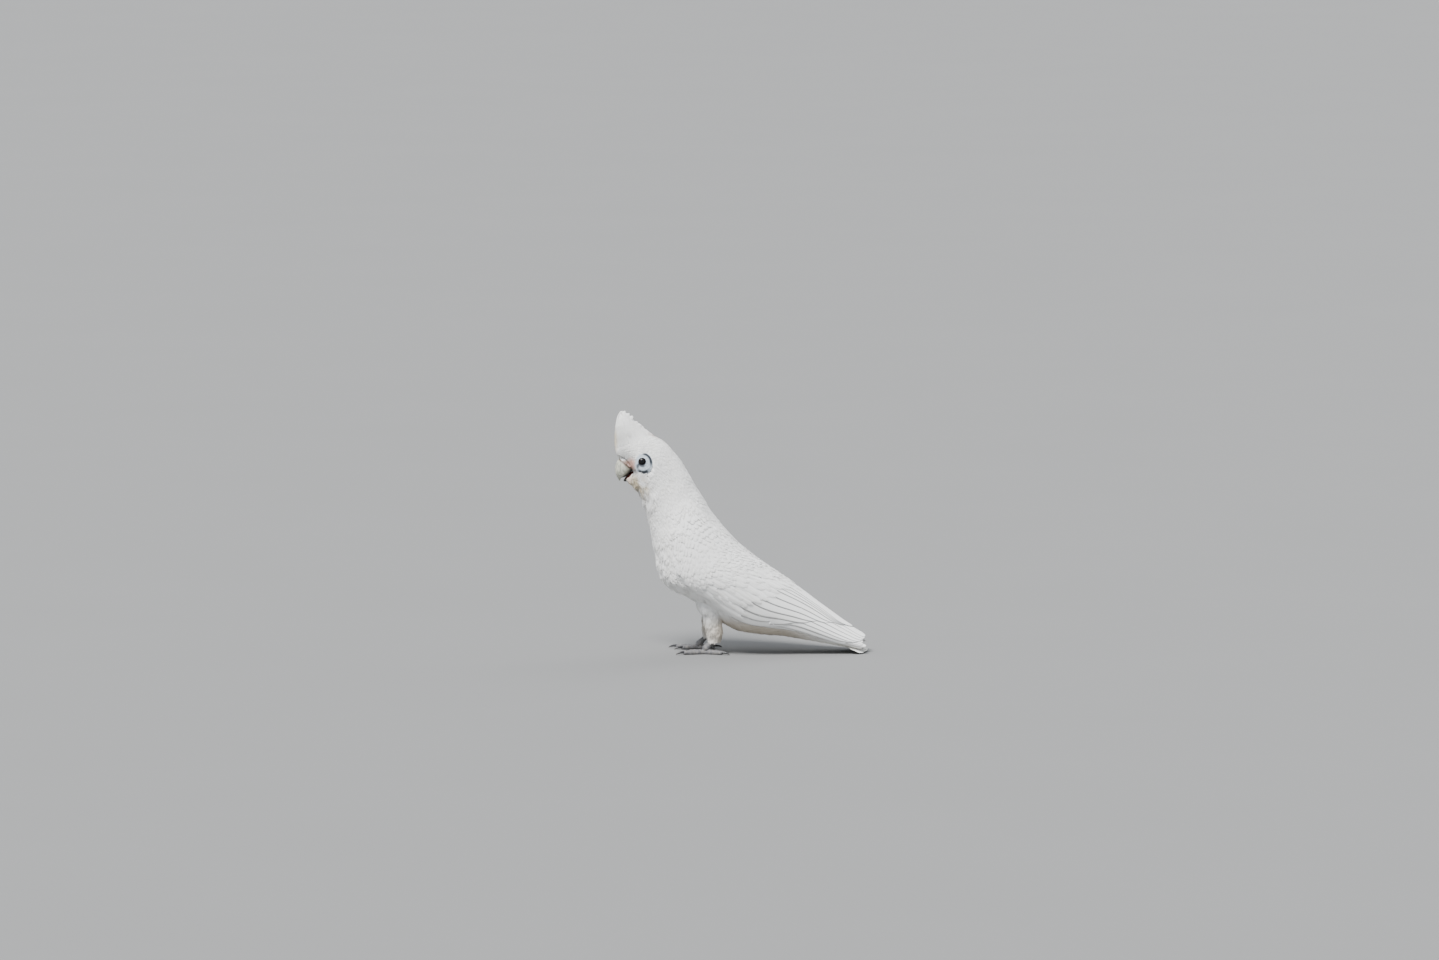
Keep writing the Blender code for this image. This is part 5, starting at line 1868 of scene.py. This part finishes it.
@dataclass(frozen=True)
class Eye:
    """An eye: the ball, sunk in the head, and the bare skin round it. Lengths are in mm."""

    side: int = LEFT
    centre: Pair = (-114.2, 221.8)  # x and z
    radius: float = 5.0
    sunk: float = 4.0  # how far its middle lies inside the side of the head
    ring_half: Pair = (10.2, 12.2)  # half the length and the height of the bare skin
    opening: float = 3.95  # radius of the gap between the lids

    def ball(self) -> Shape:
        """The eyeball: rings from its front pole to its back, with a slight bulge over the pupil."""
        rise = np.linspace(0.04, math.pi - 0.04, 44)[:, None]
        turn = turns(48)[None, :]
        radius = self.radius + 0.25 * np.exp(-((rise / 0.5) ** 2))
        x0, z0 = np.array([self.centre[0] * MM]), np.array([self.centre[1] * MM])
        deep = float(BODY.side(x0, z0)[0]) - self.sunk * MM
        x = x0 + radius * MM * np.sin(rise) * np.cos(turn)
        z = z0 + radius * MM * np.sin(rise) * np.sin(turn)
        y = -deep - radius * MM * np.cos(rise) + 0 * turn
        shape = closed_rings(np.stack([x, y, z], axis=-1))
        shape.maps = {"form": tube_map(turn / (2 * math.pi), np.clip(rise / (math.pi / 2), 0, 1))}
        return shape if self.side == LEFT else shape.mirrored()

    def skin(self) -> Shape:
        """The bare skin as a closed ring: out over lids and folds, and back beneath.

        Its lift is a round lid near the eye, then rings of folds that die out towards the feathers.
        """
        over = 40  # points on the outside of the ring, before those beneath it
        share = np.concatenate([np.linspace(0, 1, over), [1.0, 0.5, 0.02]])[None, :]
        turn = turns(128)[:, None]
        oval = 1 - 0.07 * np.sin(turn) ** 2
        inner_x = self.centre[0] + self.opening * np.cos(turn)
        inner_z = self.centre[1] + self.opening * oval * np.sin(turn)
        outer_x = EYE_RING[0] + self.ring_half[0] * np.cos(turn)
        outer_z = EYE_RING[1] + self.ring_half[1] * np.sin(turn)
        x = (inner_x + (outer_x - inner_x) * share) * MM
        z = (inner_z + (outer_z - inner_z) * share) * MM
        lid = 1.45 * np.sqrt(np.clip(share / 0.13, 0, 1)) - 0.45 * smooth_step(0.13, 0.3, share)
        waver = 1.3 * np.sin(turn * 2 + 1) + 0.9 * np.sin(turn * 5) + 2 * share**2
        fold = np.sin(share * 2 * math.pi * 3.2 + waver) * (0.55 + 0.45 * np.sin(turn * 3 + 2.2))
        crease = np.sin(turn * 31 + 4 * np.sin(turn * 2) + share * 6)
        fading = smooth_step(0.1, 0.3, share) * (1 - smooth_step(0.75, 1.0, share))
        lift = -0.85 + lid + fading * (0.16 * fold + 0.06 * crease) - 1.0 * smooth_step(0.6, 1.0, share)
        lift[:, over:] = -2.2
        points = np.stack([x, -(BODY.side(x, z) + lift * MM), z], axis=-1)
        faces = grid_faces(*points.shape[:2], looped=True)
        form = np.stack(np.broadcast_arrays(np.abs(turn / math.pi - 1), share), axis=-1).reshape(-1, 2)
        # painted shadow on the ring, kept as the mark rim
        rim = np.broadcast_to(self.shadow_arcs(turn, share), points.shape[:2]).reshape(-1)
        shape = Shape(points.reshape(-1, 3), [faces], {"form": form}, {"rim": rim}).outward()
        return shape if self.side == LEFT else shape.mirrored()

    @staticmethod
    def shadow_arcs(turn: Array, share: Array) -> Array:
        """How dark the painted shadow on the ring is: arcs where the feathers over brow and cheek shade its
        edge, a line towards the bill, and a patch under the lower lid.
        """
        arcs = ((0.75, 1.25, 0.6), (4.7, 0.95, 0.45), (3.72, 0.42, 0.1), (4.4, 1.3, 0.6))
        brow, cheek, fore, lid = (
            smooth_step(wide, narrow, np.abs((turn - middle + math.pi) % (2 * math.pi) - math.pi))
            for middle, wide, narrow in arcs
        )
        fore = 0.85 * fore * smooth_step(1.0, 0.5, share)
        lid = 0.9 * lid * smooth_step(0.3, 0.12, share)
        outer = smooth_step(0.52, 0.68, share) * smooth_step(1.0, 0.93, share)
        return np.maximum(0.97 * outer * np.maximum(brow, cheek), np.maximum(fore, lid))


# ---------------------------------------------------------------------------------------- studio


@dataclass(frozen=True)
class Studio:
    """A plain grey floor, an even surround, two wide suns and the camera. Lengths are in metres."""

    aim: Triple = (-0.0258, 0.0, 0.198)
    distance: float = 9.15
    rise: float = 6.4  # degrees above the horizon
    lens: float = 200.0  # mm
    sensor: float = 36.0  # mm
    clip: float = 200.0  # how far the camera sees
    floor_radius: float = 60.0
    floor_steps: int = 96
    floor_grey: Triple = (0.22, 0.22, 0.217)

    def camera(self) -> None:
        """The camera on the bird's left, level across and looking a little down."""
        made = bpy.data.cameras.new("camera")
        made.lens = self.lens
        made.sensor_width = self.sensor
        made.clip_end = self.clip
        holder = linked("camera", made)
        rise = math.radians(self.rise)
        back = (0.0, -math.cos(rise), math.sin(rise))
        holder.location = [aim + self.distance * part for aim, part in zip(self.aim, back)]
        holder.rotation_euler = (math.pi / 2 - rise, 0.0, 0.0)
        bpy.context.scene.camera = holder

    def floor(self) -> bpy.types.Object:
        """A wide round floor with a faint grain."""
        paint = Paint("studio_floor", self.floor_grey, roughness=0.9, specular_ior_level=0.2)
        grain = paint.noise(paint.place(), 3.0, 3.0)
        darker = tuple(0.96 * part for part in self.floor_grey)
        paint.set("Base Color", paint.mix(grain, darker, self.floor_grey))
        turn = turns(self.floor_steps)
        rim = np.stack([np.cos(turn), np.sin(turn), 0 * turn], -1) * self.floor_radius
        points = np.concatenate([rim, [[0.0, 0.0, 0.0]]])
        step = np.arange(self.floor_steps)
        faces = np.stack([np.full(len(step), len(step)), step, (step + 1) % len(step)], axis=1)
        made = Shape(points, [faces]).mesh_object("floor", paint.material)
        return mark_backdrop(made)

    def sun(self, name: str, way: Triple, angle: float, strength: float) -> None:
        """A wide soft sun that shines from the side that way points to, its angle in radians."""
        lamp = bpy.data.lights.new(name, "SUN")
        lamp.angle = angle
        lamp.energy = strength
        holder = linked(name, lamp)
        reach = math.dist(way, (0.0, 0.0, 0.0))
        holder.rotation_euler = (math.acos(way[2] / reach), 0.0, math.atan2(way[0], -way[1]))

    def sky(self) -> None:
        """An even pale surround."""
        world = bpy.data.worlds.new("surround")
        world.use_nodes = True
        background = world.node_tree.nodes["Background"]
        background.inputs["Color"].default_value = (0.80, 0.86, 0.95, 1.0)
        background.inputs["Strength"].default_value = 0.75
        bpy.context.scene.world = world

    def build(self) -> None:
        """Everything round the bird."""
        self.camera()
        self.floor()
        self.sky()
        self.sun("key", (-0.5, -0.8, 1.5), 0.4, 7.0)
        self.sun("rim", (0.7, 1.0, 0.9), 0.7, 1.2)


# ---------------------------------------------------------------------------------------- assembly


@dataclass(frozen=True)
class Finishes:
    """Every finish of the bird, made once."""

    plumage: dict[Lay, Material]
    horn: Material
    bare: Material
    eye: Material
    scales: Material
    claw: Material
    mouth: Material

    @staticmethod
    def made() -> "Finishes":
        """Builds all the materials."""
        plumage = {lay: Plumage().dress(lay) for lay in Lay}
        others = (BillHorn(), BareSkin(), EyeGlass(), LegScales(), ClawHorn(), MouthLining())
        return Finishes(plumage, *(finish.dress() for finish in others))


def hand_over(piece: bpy.types.Object, slot: str, *nodes: str) -> None:
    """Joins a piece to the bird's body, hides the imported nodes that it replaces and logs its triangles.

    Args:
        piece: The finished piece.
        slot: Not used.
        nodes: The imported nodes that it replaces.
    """
    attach(piece, ROOT)
    if nodes:
        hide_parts(*nodes)
    faces = sum(len(polygon.vertices) - 2 for polygon in piece.data.polygons)
    LOG.info("%s: %d triangles", piece.name, faces)


def add(shape: Shape, name: str, finish: Material, slot: str, *nodes: str) -> None:
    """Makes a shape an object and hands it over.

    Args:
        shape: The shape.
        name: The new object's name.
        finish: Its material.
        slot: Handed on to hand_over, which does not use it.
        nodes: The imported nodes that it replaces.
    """
    hand_over(shape.mesh_object(name, finish), slot, *nodes)


def build_plumage(finishes: Finishes, legs: dict[str, Leg]) -> None:
    """The skin and every feather.

    Args:
        finishes: The bird's finishes.
        legs: Both legs, by the end of their names.
    """
    plumage = finishes.plumage
    body, tail, crest = Body(Wing(), Bill()), Tail(), Crest()
    others = [tail.core(), crest.core()]
    for leg in legs.values():
        others += leg.flesh()
    flesh = ["head", "neck", "trunk"] + [f"{name}_{end}" for name in ("thigh", "shank") for end in SIDES]
    hand_over(body.skin(others, plumage[Lay.SKIN]), "plumage", *flesh)
    coats = body.coat() | {f"leg_{end}": leg.coat() for end, leg in legs.items()}
    for name, shape in coats.items():
        add(shape, f"coat_{name}", plumage[Lay.CONTOUR], "plumage")
    for end, side in SIDES.items():
        wing = Wing(side)
        coverts, quills = Shape.joined(wing.coverts()), tiled(wing.quills())
        add(coverts, f"wing_covert_feathers_{end}", plumage[Lay.COVERT], "plumage", f"wing_coverts_{end}")
        nodes = (f"wing_secondaries_{end}", f"wing_primaries_{end}")
        add(quills, f"wing_quills_{end}", plumage[Lay.QUILL], "plumage", *nodes)
    add(tiled(tail.feathers()), "tail_feathers", plumage[Lay.TAIL], "plumage", "tail")
    add(crest.coat(), "crest_coat", plumage[Lay.CONTOUR], "plumage")
    quills = tiled([*crest.vanes(), *crest.flanks()])
    add(quills, "crest_feathers", plumage[Lay.QUILL], "plumage", "crest")


def build_head(finishes: Finishes) -> None:
    """Bill, mouth and eyes.

    Args:
        finishes: The bird's finishes.
    """
    bill = Bill()
    add(bill.half(bill.upper, math.pi), "bill_upper_horn", finishes.horn, "bill_horn", "bill_upper")
    add(bill.half(bill.lower, 0.0), "bill_lower_horn", finishes.horn, "bill_horn", "bill_lower")
    add(bill.mouth(), "mouth_lining", finishes.mouth, "skin")
    for end, side in SIDES.items():
        eye = Eye(side)
        add(eye.ball(), f"eyeball_{end}", finishes.eye, "eye", f"eye_{end}")
        add(eye.skin(), f"eye_ring_{end}", finishes.bare, "skin", f"eye_skin_{end}")


def build_feet(finishes: Finishes, legs: dict[str, Leg]) -> None:
    """Feet and claws.

    Args:
        finishes: The bird's finishes.
        legs: Both legs, by the end of their names.
    """
    for end, leg in legs.items():
        numbers = range(1, len(leg.toes) + 1)
        toes = [f"toe_{number}_{end}" for number in numbers]
        hand_over(leg.foot(f"foot_skin_{end}", finishes.scales), "leg_scales", f"foot_{end}", *toes)
        for number in numbers:
            name = f"{number}_{end}"
            add(leg.claw(number - 1), f"claw_horn_{name}", finishes.claw, "claw", f"claw_{name}")


def main() -> None:
    """Builds the bird and its studio."""
    logging.basicConfig(level=logging.INFO, format="%(name)s: %(message)s")
    finishes = Finishes.made()
    legs = {"l": Leg(LEFT), "r": Leg(RIGHT, lean=-9.0)}
    build_plumage(finishes, legs)
    build_head(finishes)
    build_feet(finishes, legs)
    Studio().build()


if __name__ == "__main__":
    main()
